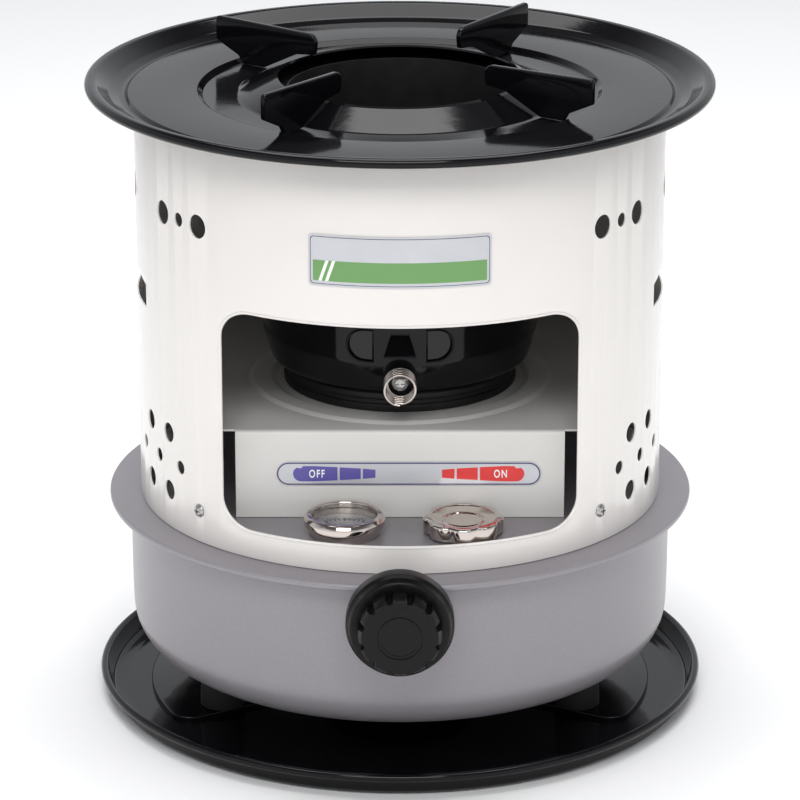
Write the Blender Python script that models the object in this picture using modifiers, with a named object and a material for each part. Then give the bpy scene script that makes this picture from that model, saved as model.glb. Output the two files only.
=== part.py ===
"""Kerosene wick stove: drip tray, round fuel tank, enamelled shell, burner and top plate.

Metres, +Z up. The origin is the middle of the drip tray's flat underside and the wick knob
faces -Y. Angles of pieces round the axis are counted from the front, positive toward +X.
"""
import bmesh
import bpy
from math import asin, ceil, cos, pi, radians, sin, sqrt, tan
from mathutils import Matrix, Vector

# Shared clearances and counts
GAP = 0.0003
OVERRUN = 0.004
SHEET = 0.001
THIN_SHEET = 0.0008
LARGE_STEPS = 32
BURNER_STEPS = 24
MEDIUM_STEPS = 20
SMALL_STEPS = 12
HOLE_SIDES = 8
SMALL_HOLE_SIDES = 6

# Drip tray
TRAY_OVERHANG = 0.0185
TRAY_HEIGHT = 0.013
TRAY_BEAD_RADIUS = 0.0021
TRAY_WALL_LEAN = 0.0025
TRAY_CORNER_RADIUS = 0.003
TRAY_CREASE_SETBACK = 0.0135
TRAY_CREASE_RISE = 0.0005
SEAT_HEIGHT = 0.0025
SEAT_INNER_RADIUS = 0.070
SEAT_SETBACK = 0.0275
SEAT_CORNER_RADIUS = 0.010
SEAT_MIDDLES = (radians(-87.5), radians(87.5), radians(180))
SEAT_HALF_ANGLE = radians(28)

# Feet under the tank
FOOT_RADIUS = 0.012
FOOT_CIRCLE_SHARE = 0.731
FOOT_PLACES = {"foot_left": radians(-64), "foot_right": radians(64), "foot_rear": radians(180)}

# Fuel tank
TANK_OVERHANG = 0.0055
TANK_BOTTOM = 0.026
TANK_BOWL_HEIGHT = 0.046
TANK_BOWL_NARROWING = 0.001
TANK_CORNER_RADIUS = 0.026
SEAM_WIDTH = 0.0113
SEAM_TOP = 0.1143
SEAM_LIP_WIDTH = 0.0043
SEAM_BEND_RADIUS = 0.0013
PLATEAU_TOP = 0.127
PLATEAU_CLEARANCE = 0.0005
PLATEAU_CORNER_RADIUS = 0.0025

# Filler neck, its cap and seal
FILLER_X = 0.0325
FILLER_SHELL_CLEARANCE = 0.001
NECK_RADIUS = 0.0145
NECK_WALL = 0.0012
NECK_TOP = 0.1315
NECK_BOTTOM = 0.121
NECK_FLANGE_RADIUS = 0.0172
NECK_FLANGE_THICKNESS = 0.001
SEAL_THICKNESS = 0.001
SEAL_WIDTH = 0.003
CAP_RADIUS = 0.0208
CAP_LOBES = 8
CAP_LOBE_DEPTH = 0.0016
CAP_WALL = 0.0010
CAP_TOP = 0.1358
CAP_SKIRT_CLEARANCE = 0.0006
CAP_RECESS_RADIUS = 0.0118
CAP_RECESS_DEPTH = 0.002
CAP_EDGE_RADIUS = 0.0014

# Fuel gauge
GAUGE_X = -0.0285
GAUGE_SHELL_CLEARANCE = 0.0012
BEZEL_RADIUS = 0.021
BEZEL_FOOT_RADIUS = 0.0182
BEZEL_HEIGHT = 0.0105
BEZEL_BORE_RADIUS = 0.0175
BEZEL_LIP = 0.0007
BEZEL_FLOOR_HEIGHT = 0.003
BEZEL_FLOOR_BORE_RADIUS = 0.015
LENS_THICKNESS = 0.001
DIAL_THICKNESS = 0.0005
DIAL_SLOT_LENGTH = 0.022
DIAL_SLOT_WIDTH = 0.0034
POINTER_OFFSET_Y = -0.0038
FLOAT_PIVOT_DROP = 0.009
POINTER_LENGTH = 0.0155
POINTER_TILT = radians(22)
FLOAT_WIRE_RADIUS = 0.0008
FLOAT_REACH_X = 0.0515
FLOAT_DROP = 0.006
FLOAT_ELBOW_REACH = 0.0075
FLOAT_REACH_Y_SHARE = 0.517
FLOAT_RADIUS = 0.0095
FLOAT_LENGTH = 0.026
FLOAT_ROUNDING = 0.003
FLOAT_WIRE_END_LENGTH = 0.004
PIVOT_EAR_SPACING = 0.0090
PIVOT_EAR_WIDTH = 0.008
PIVOT_EAR_EXTRA = 0.003
PIVOT_PIN_OVERHANG = 0.001
PIVOT_PLATE_LENGTH = 0.036
PIVOT_PLATE_WIDTH = 0.026

# Wick, its carrier and the tubes that guide it
DRAUGHT_RADIUS = 0.040
DRAUGHT_TOP = 0.183
DRAUGHT_FLANGE_WIDTH = 0.010
WICK_INNER_RADIUS = 0.041
WICK_THICKNESS = 0.003
WICK_BOTTOM = 0.044
WICK_TOP = 0.190
CARRIER_CLEARANCE = 0.0004
CARRIER_BOTTOM = 0.092
CARRIER_TOP = 0.150
OUTER_TUBE_INNER_RADIUS = 0.046
OUTER_TUBE_TOP = 0.1797
OUTER_TUBE_FLANGE_RADIUS = 0.060

# Rack, pinion and shaft
SHAFT_BELOW_SEAM = 0.0168
SHAFT_RADIUS = 0.003
PINION_TEETH = 10
PINION_PITCH_RADIUS = 0.005
PINION_THICKNESS = 0.005
TOOTH_ADDENDUM = 0.0009
TOOTH_DEDENDUM = 0.0011
TOOTH_TIP_SHARE = 0.16
TOOTH_PITCH_SHARE = 0.36
TOOTH_ROOT_SHARE = 0.48
RACK_TEETH = 7
RACK_BACK_THICKNESS = 0.003
RACK_WIDTH = 0.006
RACK_WEB_SINK = 0.0006
PINION_SLEEVE_CLEARANCE = 0.0011
SHAFT_END_CLEARANCE = 0.0008
SHAFT_KNOB_DEPTH = 0.018
SHAFT_TIP_RADIUS = 0.0024
BEARING_REACH_SHARE = 0.517
BEARING_SHEET = 0.0015
BEARING_WIDTH = 0.020
BEARING_FOOT_LENGTH = 0.015
BEARING_BELOW_SHAFT = 0.0065
BUSH_RADIUS = 0.0065
BUSH_FLANGE_RADIUS = 0.010
BUSH_FLANGE_THICKNESS = 0.002
BUSH_NECK_LENGTH = 0.007
GLAND_FLATS_RADIUS = 0.0095
GLAND_LENGTH = 0.0115

# Wick knob
KNOB_STAND_OFF = 0.013
KNOB_SKIRT_RADIUS = 0.0276
KNOB_SKIRT_THICKNESS = 0.008
KNOB_SHOULDER_RADIUS = 0.0254
KNOB_SHOULDER_HEIGHT = 0.015
KNOB_GRIP_RADIUS = 0.0212
KNOB_HEIGHT = 0.026
KNOB_LOBES = 12
KNOB_LOBE_DEPTH = 0.002
KNOB_EDGE_RADIUS = 0.0012
KNOB_WALL = 0.0028
KNOB_HOLLOW_DEPTH = 0.006
KNOB_HUB_RADIUS = 0.008
KNOB_GROOVE_RADIUS = 0.01125
KNOB_GROOVE_WIDTH = 0.0008
KNOB_GROOVE_DEPTH = 0.0005

# Burner
BASE_RING_WIDTH = 0.0142
BASE_RING_HEIGHT = 0.0109
BASE_RING_SKIRT = 0.004
BASE_RING_BORE_CLEARANCE = 0.0008
BASE_RING_CHAMFER = 0.001
DRUM_RADIUS = 0.073
DRUM_FOOT_HEIGHT = 0.0175
DRUM_WALL_TOP = 0.270
DRUM_NECK_RADIUS = 0.0625
DRUM_NECK_BOTTOM = 0.292
DRUM_TOP = 0.314
DRUM_FOOT_RADIUS = 0.064
DRUM_LIP_WIDTH = 0.008
DRUM_FOOT_BULGE = 0.004
VIEW_RISE = 0.0113
VIEW_HALF_WIDTH = 0.0275
VIEW_HALF_HEIGHT = 0.0085
VIEW_BAR_HALF_WIDTH = 0.014
VIEW_PANE_HALF_ANGLE = radians(25)
VIEW_PANE_THICKNESS = 0.0005
VIEW_PANE_MARGIN = 0.0030
FLAME_TUBE_TOP = 0.262
OUTER_FLAME_TUBE_RADIUS = 0.0505
FLAME_HOLE_RADIUS = 0.0024
FLAME_HOLE_ROWS = 2
FLAME_HOLES_PER_ROW = 8
SPREADER_HEIGHT = 0.006
SPREADER_OVERHANG = 0.003
PIN_RADIUS = 0.0015
PIN_HEIGHT = 0.240
PIN_OVERHANG = 0.0015

# Handle of the burner
STRAP_WIDTH = 0.017
STRAP_TOP_WIDTH = 0.009
STRAP_THICKNESS = 0.0015
STRAP_STAND_OFF = 0.0075
STRAP_LAP = 0.0235
STRAP_TAB_HEIGHT = 0.005
STRAP_SLOPE_HEIGHT = 0.0105
STRAP_FACE_HEIGHT = 0.023
HANDLE_ABOVE_STRAP_END = 0.010
COIL_RADIUS = 0.00785
COIL_WIRE_RADIUS = 0.0008
COIL_PITCH = 0.0027
COIL_TURNS = 5
COIL_POINTS_PER_TURN = 10
COIL_START_RADIUS = 0.0036
COIL_START_TURNS = 0.75
HANDLE_SCREW_SHANK_RADIUS = 0.0018
HANDLE_SCREW_HEAD_RADIUS = 0.0042

# Deck over the tank
DECK_CLEARANCE = 0.0012
DECK_TOP = 0.1746
DECK_CAP_CLEARANCE = 0.001
DECK_APRON_SETBACK = 0.0185
DECK_REAR_LEG_HALF_WIDTH = 0.060
DECK_BEND_RADIUS = 0.0025
DECK_BORE_CLEARANCE = 0.0015
CONTROL_PLATE_MARGIN = 0.0165
CONTROL_PLATE_OFFSET = 0.0045
CONTROL_PLATE_HEIGHT = 0.013
CONTROL_PLATE_MIDDLE = 0.1514
PLATE_FOIL = 0.0003

# Outer shell
SHELL_RADIUS = 0.1395
SHELL_TOP = 0.3322
WINDOW_HALF_ANGLE = radians(41)
WINDOW_DROP = 0.0854
WINDOW_BOTTOM = 0.1288
WINDOW_CORNER_RADIUS = 0.016
UPPER_VENT_DROP = 0.0466
UPPER_VENT_ANGLES = (radians(54), radians(90), radians(126), radians(162))
UPPER_VENT_SPREAD = radians(6.6)
UPPER_VENT_RADIUS = 0.00625
SMALL_VENT_RADIUS = 0.00365
LOWER_VENT_RADIUS = 0.00525
LOWER_VENT_HEIGHT = 0.1509
LOWER_VENT_RISE = 0.0159
LOWER_VENT_MIDDLES = (radians(64.5), radians(115.5))
LOWER_VENT_STEP = radians(4.85)
GRIP_HALF_ANGLE = radians(18.5)
GRIP_DROP = 0.0842
GRIP_SHEAR_DROP = 0.0056
GRIP_HEIGHT = 0.0213
GRIP_DEPTH = 0.008
GRIP_UPPER_DEPTH_SHARES = ((0, -0.03), (0.28, 0.11), (0.50, 0.21), (0.71, 0.36), (1, 1))
RATING_HALF_ANGLE = radians(19)
RATING_DROP = 0.0386
RATING_HEIGHT = 0.0266
SCREW_ANGLES = {"left_front": radians(-48), "right_front": radians(48), "left_rear": radians(-132),
                "right_rear": radians(132)}
SCREW_HEIGHT = 0.132
SCREW_HEAD_RADIUS = 0.0035
SCREW_HEAD_HEIGHT = 0.0021
SCREW_SHANK_RADIUS = 0.0015
SCREW_LENGTH = 0.006
SCREW_CROWN_SHARES = (0.6, 0.85)
RECESS_WIDTH = 0.0009
RECESS_REACH_SHARE = 0.55
BRACKET_WIDTH = 0.012
BRACKET_HEIGHT = 0.0102
BRACKET_FOOT_LENGTH = 0.013

# Top plate, flame collar and pan supports
PLATE_OVERHANG = 0.0255
PLATE_BEAD_RADIUS = 0.0026
PLATE_CREST_OVERHANG = 0.020
PLATE_CREST_DROP = 0.0001
PLATE_CHANNEL_OVERHANG = 0.007
PLATE_CHANNEL_DEPTH = 0.0017
PLATE_ABOVE_SHELL = 0.0013
PLATE_RIM_HEIGHT = 0.007
WELL_RADIUS = 0.106
WELL_WALL = 0.0025
WELL_DEPTH = 0.0025
CONE_FOOT_RADIUS = 0.0855
CONE_TOP_RADIUS = 0.066
CONE_HEIGHT = 0.006
COLLAR_RADIUS = 0.0595
COLLAR_DEPTH = 0.0315
COLLAR_RISE = 0.0007
COLLAR_FLANGE_RADIUS = 0.098
SUPPORT_THICKNESS = 0.0028
SUPPORT_ANGLES = {"front_left": radians(-35), "front_right": radians(55), "rear_right": radians(145),
                  "rear_left": radians(-125)}
SUPPORT_OUTER_RADIUS = 0.120
SUPPORT_HEIGHT = 0.022
SUPPORT_TOP_FALL = 0.0015
SUPPORT_INNER_RADIUS = 0.053
SUPPORT_HEEL_HEIGHT = 0.009
SUPPORT_TIP_CLEARANCE = 0.0095
SUPPORT_TIP_ROUNDING = 0.005
SUPPORT_CORNER_ROUNDING = 0.002

# Sizes that follow from those above
TANK_RADIUS = SHELL_RADIUS + TANK_OVERHANG
SEAM_RADIUS = TANK_RADIUS + SEAM_WIDTH
TRAY_RIM_RADIUS = TANK_RADIUS + TRAY_OVERHANG
TRAY_CREASE_RADIUS = TRAY_RIM_RADIUS - TRAY_CREASE_SETBACK
SEAT_OUTER_RADIUS = TRAY_RIM_RADIUS - SEAT_SETBACK
SHAFT_HEIGHT = SEAM_TOP - SHAFT_BELOW_SEAM
KNOB_BACK = TANK_RADIUS + KNOB_STAND_OFF
FOOT_CIRCLE_RADIUS = TANK_RADIUS * FOOT_CIRCLE_SHARE
FLOAT_Y = -TANK_RADIUS * FLOAT_REACH_Y_SHARE
BEARING_Y = -TANK_RADIUS * BEARING_REACH_SHARE
PLATE_RADIUS = SHELL_RADIUS + PLATE_OVERHANG
PLATE_CREST_RADIUS = SHELL_RADIUS + PLATE_CREST_OVERHANG
PLATE_CHANNEL_RADIUS = SHELL_RADIUS + PLATE_CHANNEL_OVERHANG
TRAY_SEAT_TOP = SHEET + SEAT_HEIGHT
TANK_FLOOR = TANK_BOTTOM + SHEET
DRAUGHT_BORE = DRAUGHT_RADIUS - THIN_SHEET
WICK_OUTER_RADIUS = WICK_INNER_RADIUS + WICK_THICKNESS
CARRIER_INNER_RADIUS = WICK_OUTER_RADIUS + CARRIER_CLEARANCE
CARRIER_RADIUS = CARRIER_INNER_RADIUS + SHEET
OUTER_TUBE_RADIUS = OUTER_TUBE_INNER_RADIUS + SHEET
SHELL_INNER_RADIUS = SHELL_RADIUS - THIN_SHEET
PLATEAU_RADIUS = SHELL_INNER_RADIUS - PLATEAU_CLEARANCE
DECK_RADIUS = SHELL_INNER_RADIUS - DECK_CLEARANCE
FILLER_Y = -sqrt((SHELL_INNER_RADIUS - CAP_RADIUS - FILLER_SHELL_CLEARANCE) ** 2 - FILLER_X ** 2)
GAUGE_Y = -sqrt((SHELL_INNER_RADIUS - BEZEL_RADIUS - GAUGE_SHELL_CLEARANCE) ** 2 - GAUGE_X ** 2)
DECK_FRONT = -FILLER_Y - CAP_RADIUS - DECK_CAP_CLEARANCE
DECK_APRON_HALF_WIDTH = sqrt(DECK_RADIUS ** 2 - DECK_FRONT ** 2) - DECK_APRON_SETBACK
CONTROL_PLATE_LENGTH = 2 * (DECK_APRON_HALF_WIDTH - CONTROL_PLATE_MARGIN)
BASE_RING_RADIUS = OUTER_TUBE_RADIUS + BASE_RING_BORE_CLEARANCE + BASE_RING_WIDTH
BASE_RING_TOP = DECK_TOP + BASE_RING_HEIGHT
DRUM_WALL_BOTTOM = BASE_RING_TOP + DRUM_FOOT_HEIGHT
VIEW_HEIGHT = DRUM_WALL_BOTTOM + VIEW_RISE
STRAP_TOP = DRUM_WALL_BOTTOM + STRAP_LAP
STRAP_UPPER_BEND = STRAP_TOP - STRAP_TAB_HEIGHT
STRAP_LOWER_BEND = STRAP_UPPER_BEND - STRAP_SLOPE_HEIGHT
STRAP_BOTTOM = STRAP_LOWER_BEND - STRAP_FACE_HEIGHT
HANDLE_HEIGHT = STRAP_BOTTOM + HANDLE_ABOVE_STRAP_END
SHELL_BOTTOM = SEAM_TOP + GAP
WINDOW_TOP = SHELL_TOP - WINDOW_DROP
UPPER_VENT_HEIGHT = SHELL_TOP - UPPER_VENT_DROP
GRIP_TOP = SHELL_TOP - GRIP_DROP
GRIP_SHEAR_TOP = GRIP_TOP - GRIP_SHEAR_DROP
GRIP_BOTTOM = GRIP_TOP - GRIP_HEIGHT
RATING_TOP = SHELL_TOP - RATING_DROP
RATING_BOTTOM = RATING_TOP - RATING_HEIGHT
PLATE_TOP = SHELL_TOP + PLATE_ABOVE_SHELL
PLATE_RIM_TOP = PLATE_TOP + PLATE_RIM_HEIGHT
CONE_TOP = PLATE_TOP + CONE_HEIGHT
COLLAR_BOTTOM = PLATE_TOP - COLLAR_DEPTH
COLLAR_TOP = PLATE_TOP + COLLAR_RISE
SUPPORT_TOP = PLATE_TOP + SUPPORT_HEIGHT
SUPPORT_TIP_UNDERSIDE = PLATE_TOP + SUPPORT_TIP_CLEARANCE
STRAP_FACE = DRUM_RADIUS + STRAP_STAND_OFF
PINION_FRONT = CARRIER_RADIUS + PINION_SLEEVE_CLEARANCE + PINION_THICKNESS
GAUGE_PIVOT_Y = GAUGE_Y + POINTER_OFFSET_Y
GAUGE_PIVOT_Z = PLATEAU_TOP - FLOAT_PIVOT_DROP
CAP_UNDERSIDE = NECK_TOP + SEAL_THICKNESS + GAP + GAP

COLLECTION = "kerosene_stove"


def new_collection(name):
    made = bpy.data.collections.new(name)
    bpy.context.scene.collection.children.link(made)
    return made


for old in list(bpy.data.objects):
    bpy.data.objects.remove(old, do_unlink=True)
PARTS = new_collection(COLLECTION)
CUTTERS = new_collection("cutters")


def material(name, colour, roughness, metallic=0.0):
    made = bpy.data.materials.new(name)
    made.use_nodes = True
    shader = made.node_tree.nodes["Principled BSDF"]
    shader.inputs["Base Color"].default_value = (*colour, 1.0)
    shader.inputs["Roughness"].default_value = roughness
    shader.inputs["Metallic"].default_value = metallic
    return made


def place(name, mesh, look=None):
    """Puts a mesh in the parts as one node, or among the cutters where it has no look."""
    made = bpy.data.objects.new(name, mesh)
    (PARTS if look else CUTTERS).objects.link(made)
    if look:
        mesh.materials.append(material(name, *look))
    else:
        made.hide_render = True
        made.display_type = "WIRE"
    return made


def finish_mesh(name, shape):
    """Turns a bmesh into a mesh with faces that point out and smooth round sides."""
    bmesh.ops.remove_doubles(shape, verts=shape.verts, dist=GAP / 100)
    bmesh.ops.recalc_face_normals(shape, faces=shape.faces)
    mesh = bpy.data.meshes.new(name)
    shape.to_mesh(mesh)
    shape.free()
    mesh.shade_smooth()
    mesh.set_sharp_from_angle(angle=radians(35))
    return mesh


def sheet(line, thickness):
    """Closes a line of (across, up) points to a section with the metal on its right side."""
    inner = []
    for index, point in enumerate(line):
        here = Vector(point)
        before = (here - Vector(line[index - 1])).normalized() if index else None
        after = (Vector(line[index + 1]) - here).normalized() if index < len(line) - 1 else None
        first, second = before or after, after or before
        normal = Vector((first.y, -first.x)) + Vector((second.y, -second.x))
        inner.append(here + normal * (thickness * 2 / normal.length_squared))
    return [tuple(point) for point in line] + [tuple(point) for point in reversed(inner)]


def rounded(corners, steps=3):
    """A line of (across, up, radius) corners with each corner as an arc of its radius."""
    line = []
    for index, (across, up, radius) in enumerate(corners):
        here = Vector((across, up))
        if not radius or index in (0, len(corners) - 1):
            line.append((across, up))
            continue
        back = (Vector(corners[index - 1][:2]) - here).normalized()
        ahead = (Vector(corners[index + 1][:2]) - here).normalized()
        half = back.angle(ahead) / 2
        middle = here + (back + ahead).normalized() * (radius / sin(half))
        start = here + back * (radius / tan(half)) - middle
        turn = (pi - 2 * half) * (1 if back.cross(ahead) < 0 else -1)
        for step in range(steps):
            angle = turn * step / (steps - 1)
            line.append(tuple(middle + Matrix.Rotation(angle, 2) @ start))
    return line


def turned(name, profile, look=None, steps=LARGE_STEPS, at=(0, 0, 0), tilt=None):
    """Turns a closed (radius, height) section, or one that starts and ends on the axis."""
    mesh = bpy.data.meshes.new(name)
    open_at_axis = profile[0][0] == 0
    edges = [(index, index + 1) for index in range(len(profile) - 1)]
    if not open_at_axis:
        edges.append((len(profile) - 1, 0))
    mesh.from_pydata([(radius, 0, height) for radius, height in profile], edges, [])
    made = place(name, mesh, look)
    screw = made.modifiers.new("Turn", "SCREW")
    screw.steps = screw.render_steps = steps
    screw.use_merge_vertices = True
    screw.merge_threshold = GAP / 100
    screw.use_smooth_shade = True
    made.matrix_world = Matrix.Translation(at) @ (tilt or Matrix())
    return made


def prism(name, outline, depth, look=None, frame=Matrix(), bevel=0):
    """A flat closed outline in the frame's XY plane, pushed along its Z from 0 to depth."""
    shape = bmesh.new()
    face = shape.faces.new([shape.verts.new((x, y, 0)) for x, y in outline])
    grown = bmesh.ops.extrude_face_region(shape, geom=[face])["geom"]
    top = [item for item in grown if isinstance(item, bmesh.types.BMVert)]
    bmesh.ops.translate(shape, verts=top, vec=(0, 0, depth))
    if bevel:
        rims = [edge for edge in shape.edges if all(vertex in top for vertex in edge.verts)]
        bmesh.ops.bevel(shape, geom=rims, offset=bevel, segments=1, profile=0.5, affect="EDGES")
    shape.transform(frame)
    return place(name, finish_mesh(name, shape), look)


def sector(name, section, start, end, steps, look=None):
    """A closed (radius, height) section swept round the axis between two front angles."""
    shape = bmesh.new()
    face = shape.faces.new([shape.verts.new((radius, 0, height)) for radius, height in section])
    shape.transform(Matrix.Rotation(start - pi / 2, 4, "Z"))
    bmesh.ops.spin(shape, geom=[face, *face.edges, *face.verts], angle=end - start, steps=steps,
                   axis=(0, 0, 1), cent=(0, 0, 0))
    return place(name, finish_mesh(name, shape), look)


def rods(name, ends, sides=HOLE_SIDES):
    """Round cutters from (start, end, radius) triples, in one hidden object."""
    shape = bmesh.new()
    for start, end, radius in ends:
        along = Vector(end) - Vector(start)
        turn = along.to_track_quat("Z", "Y").to_matrix().to_4x4()
        middle = Matrix.Translation((Vector(start) + Vector(end)) / 2)
        bmesh.ops.create_cone(shape, cap_ends=True, segments=sides, radius1=radius, radius2=radius,
                              depth=along.length, matrix=middle @ turn)
    return place(name, finish_mesh(name, shape))


def box(name, low, high):
    shape = bmesh.new()
    size = Vector(high) - Vector(low)
    middle = (Vector(high) + Vector(low)) / 2
    matrix = Matrix.Translation(middle) @ Matrix.Diagonal((*size, 1))
    bmesh.ops.create_cube(shape, size=1, matrix=matrix)
    return place(name, finish_mesh(name, shape))


def combine(target, others, operation="DIFFERENCE"):
    for other in others:
        step = target.modifiers.new(operation.title(), "BOOLEAN")
        step.operation = operation
        step.solver = "EXACT"
        step.object = other
    return target


def wire(name, points, radius, resolution=2):
    """A round wire through the points, as a closed mesh with welded caps."""
    curve = bpy.data.curves.new(name, "CURVE")
    curve.dimensions = "3D"
    curve.bevel_depth = radius
    curve.bevel_resolution = resolution
    curve.use_fill_caps = True
    spline = curve.splines.new("POLY")
    spline.points.add(len(points) - 1)
    for slot, point in zip(spline.points, points):
        slot.co = (*point, 1)
    guide = bpy.data.objects.new(name, curve)
    CUTTERS.objects.link(guide)
    bpy.context.view_layer.update()
    drawn = guide.evaluated_get(bpy.context.evaluated_depsgraph_get())
    mesh = bpy.data.meshes.new_from_object(drawn)
    bpy.data.objects.remove(guide, do_unlink=True)
    bpy.data.curves.remove(curve)
    shape = bmesh.new()
    shape.from_mesh(mesh)
    bpy.data.meshes.remove(mesh)
    return finish_mesh(name, shape)


def polar(radius, angle, height):
    """A point at a radius from the axis, at an angle counted from the front."""
    return (radius * sin(angle), -radius * cos(angle), height)


def cylinder(radius, low, high, edge=0):
    """Section of a solid disc, with an optional slanted upper edge."""
    top = [(radius - edge, high), (radius, high - edge)] if edge else [(radius, high)]
    return [(0, high), *top, (radius, low), (0, low)]


def ring(inner, outer, low, high):
    return [(inner, high), (outer, high), (outer, low), (inner, low)]


ABOUT_Y = Matrix.Rotation(pi / 2, 4, "X")
SIDE_FRAME = Matrix(((0, 0, 1, 0), (1, 0, 0, 0), (0, 1, 0, 0), (0, 0, 0, 1)))


def sector_outline(inner, outer, middle, half, rounding, inset=0, steps=4):
    """Outline of a flat ring sector with rounded corners, in plan, seen from above."""
    low, high = inner + inset, outer - inset
    corner = rounding - inset
    points = []
    for radius, side_turn in ((high, 1), (low, -1)):
        pull = -corner * side_turn
        side = asin((corner + inset) / (radius + pull))
        span = half - side
        corner_start = (pi / 2 if side_turn > 0 else 0)
        for side_sign in (-side_turn, side_turn):
            centre = Vector(polar(radius + pull, middle + side_sign * span, 0)[:2])
            across = Vector(polar(1, middle + side_sign * span + side_sign * pi / 2, 0)[:2])
            out = Vector(polar(side_turn, middle + side_sign * span, 0)[:2])
            arc = [radians(90) * step / 2 for step in range(3)]
            if side_sign == side_turn:
                arc.reverse()
            points += [tuple(centre + corner * (across * cos(a) + out * sin(a))) for a in arc]
            if side_sign == -side_turn:
                sweep = [span * side_turn * (2 * step / steps - 1) for step in range(1, steps)]
                points += [polar(radius, middle + turn, 0)[:2] for turn in sweep]
    return points


def drip_tray():
    black = ((0.010, 0.010, 0.012), 0.14)
    bead = TRAY_BEAD_RADIUS
    wall_top = TRAY_RIM_RADIUS - 2 * bead
    wall_foot = wall_top - TRAY_WALL_LEAN
    centre = (TRAY_RIM_RADIUS - bead, TRAY_HEIGHT - bead)
    crease = SHEET + TRAY_CREASE_RISE
    line = rounded([(0, SHEET, 0), (TRAY_CREASE_RADIUS, SHEET, 0),
                    (wall_foot, crease, TRAY_CORNER_RADIUS), (wall_top, centre[1], 0)])
    turns = [radians(degrees_share) for degrees_share in (180, 90, 0, -90)]
    line = line[:-1] + [(centre[0] + bead * cos(turn), centre[1] + bead * sin(turn)) for turn in turns]
    tray = turned("drip_tray", sheet(line, SHEET), black)
    half_sheet = SHEET / 2
    for number, middle in enumerate(SEAT_MIDDLES):
        outline = sector_outline(SEAT_INNER_RADIUS, SEAT_OUTER_RADIUS, middle, SEAT_HALF_ANGLE,
                                 SEAT_CORNER_RADIUS)
        raised = prism(f"seat_{number}", outline, SEAT_HEIGHT + half_sheet,
                       frame=Matrix.Translation((0, 0, half_sheet)))
        combine(tray, [raised], "UNION")
    for number, middle in enumerate(SEAT_MIDDLES):
        outline = sector_outline(SEAT_INNER_RADIUS, SEAT_OUTER_RADIUS, middle, SEAT_HALF_ANGLE,
                                 SEAT_CORNER_RADIUS, inset=SHEET)
        hollow = prism(f"seat_hollow_{number}", outline, SEAT_HEIGHT + OVERRUN,
                       frame=Matrix.Translation((0, 0, -OVERRUN)))
        combine(tray, [hollow])
    return tray


def feet():
    rubber = ((0.015, 0.015, 0.017), 0.6)
    low = TRAY_SEAT_TOP + GAP
    high = TANK_BOTTOM - GAP
    for name, angle in FOOT_PLACES.items():
        turned(name, cylinder(FOOT_RADIUS, low, high), rubber, SMALL_STEPS,
               polar(FOOT_CIRCLE_RADIUS, angle, 0))


def tank():
    grey = ((0.31, 0.30, 0.33), 0.38, 0.3)
    lower_top = SEAM_TOP - SHEET - GAP
    flange_bottom = lower_top - SHEET
    seam_inner = SEAM_RADIUS - SHEET - SEAM_BEND_RADIUS
    bowl_radius = TANK_RADIUS - TANK_BOWL_NARROWING
    bore = DRAUGHT_RADIUS + GAP
    line = rounded([(seam_inner, flange_bottom, 0), (TANK_RADIUS, flange_bottom, SHEET),
                    (TANK_RADIUS, TANK_BOTTOM + TANK_BOWL_HEIGHT, 0),
                    (bowl_radius, TANK_BOTTOM, TANK_CORNER_RADIUS), (bore, TANK_BOTTOM, 0)])
    lower = turned("tank_lower", sheet(line, SHEET), grey)
    front = -TANK_RADIUS
    hole = rods("bush_hole", [((0, front - OVERRUN, SHAFT_HEIGHT), (0, front + OVERRUN, SHAFT_HEIGHT),
                               BUSH_RADIUS + GAP)], SMALL_STEPS)
    combine(lower, [hole])
    lip_bottom = lower_top - 2 * SHEET - GAP
    line = rounded([(OUTER_TUBE_INNER_RADIUS + GAP, PLATEAU_TOP, 0),
                    (PLATEAU_RADIUS, PLATEAU_TOP, PLATEAU_CORNER_RADIUS), (PLATEAU_RADIUS, SEAM_TOP, 0),
                    (SEAM_RADIUS, SEAM_TOP, SEAM_BEND_RADIUS),
                    (SEAM_RADIUS, lip_bottom, SEAM_BEND_RADIUS),
                    (SEAM_RADIUS - SEAM_LIP_WIDTH, lip_bottom, 0)], steps=2)
    upper = turned("tank_upper", sheet(line, SHEET), grey)
    low = PLATEAU_TOP - SHEET - OVERRUN
    high = PLATEAU_TOP + OVERRUN
    holes = rods("tank_lid_holes", [((FILLER_X, FILLER_Y, low), (FILLER_X, FILLER_Y, high),
                                     NECK_RADIUS + GAP), ((GAUGE_X, GAUGE_Y, low),
                                                          (GAUGE_X, GAUGE_Y, high),
                                                          BEZEL_FLOOR_BORE_RADIUS - GAP)], MEDIUM_STEPS)
    combine(upper, [holes])


def lobed(radius, depth, lobes, points_per_lobe, sharpness):
    """Outline of a knob or cap with round lobes, one of them at the top."""
    outline = []
    for index in range(lobes * points_per_lobe):
        turn = 2 * pi * index / (lobes * points_per_lobe)
        valley = ((1 - cos(lobes * turn)) / 2) ** sharpness
        reach = radius - depth * valley
        outline.append((reach * sin(turn), reach * cos(turn)))
    return outline


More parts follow.
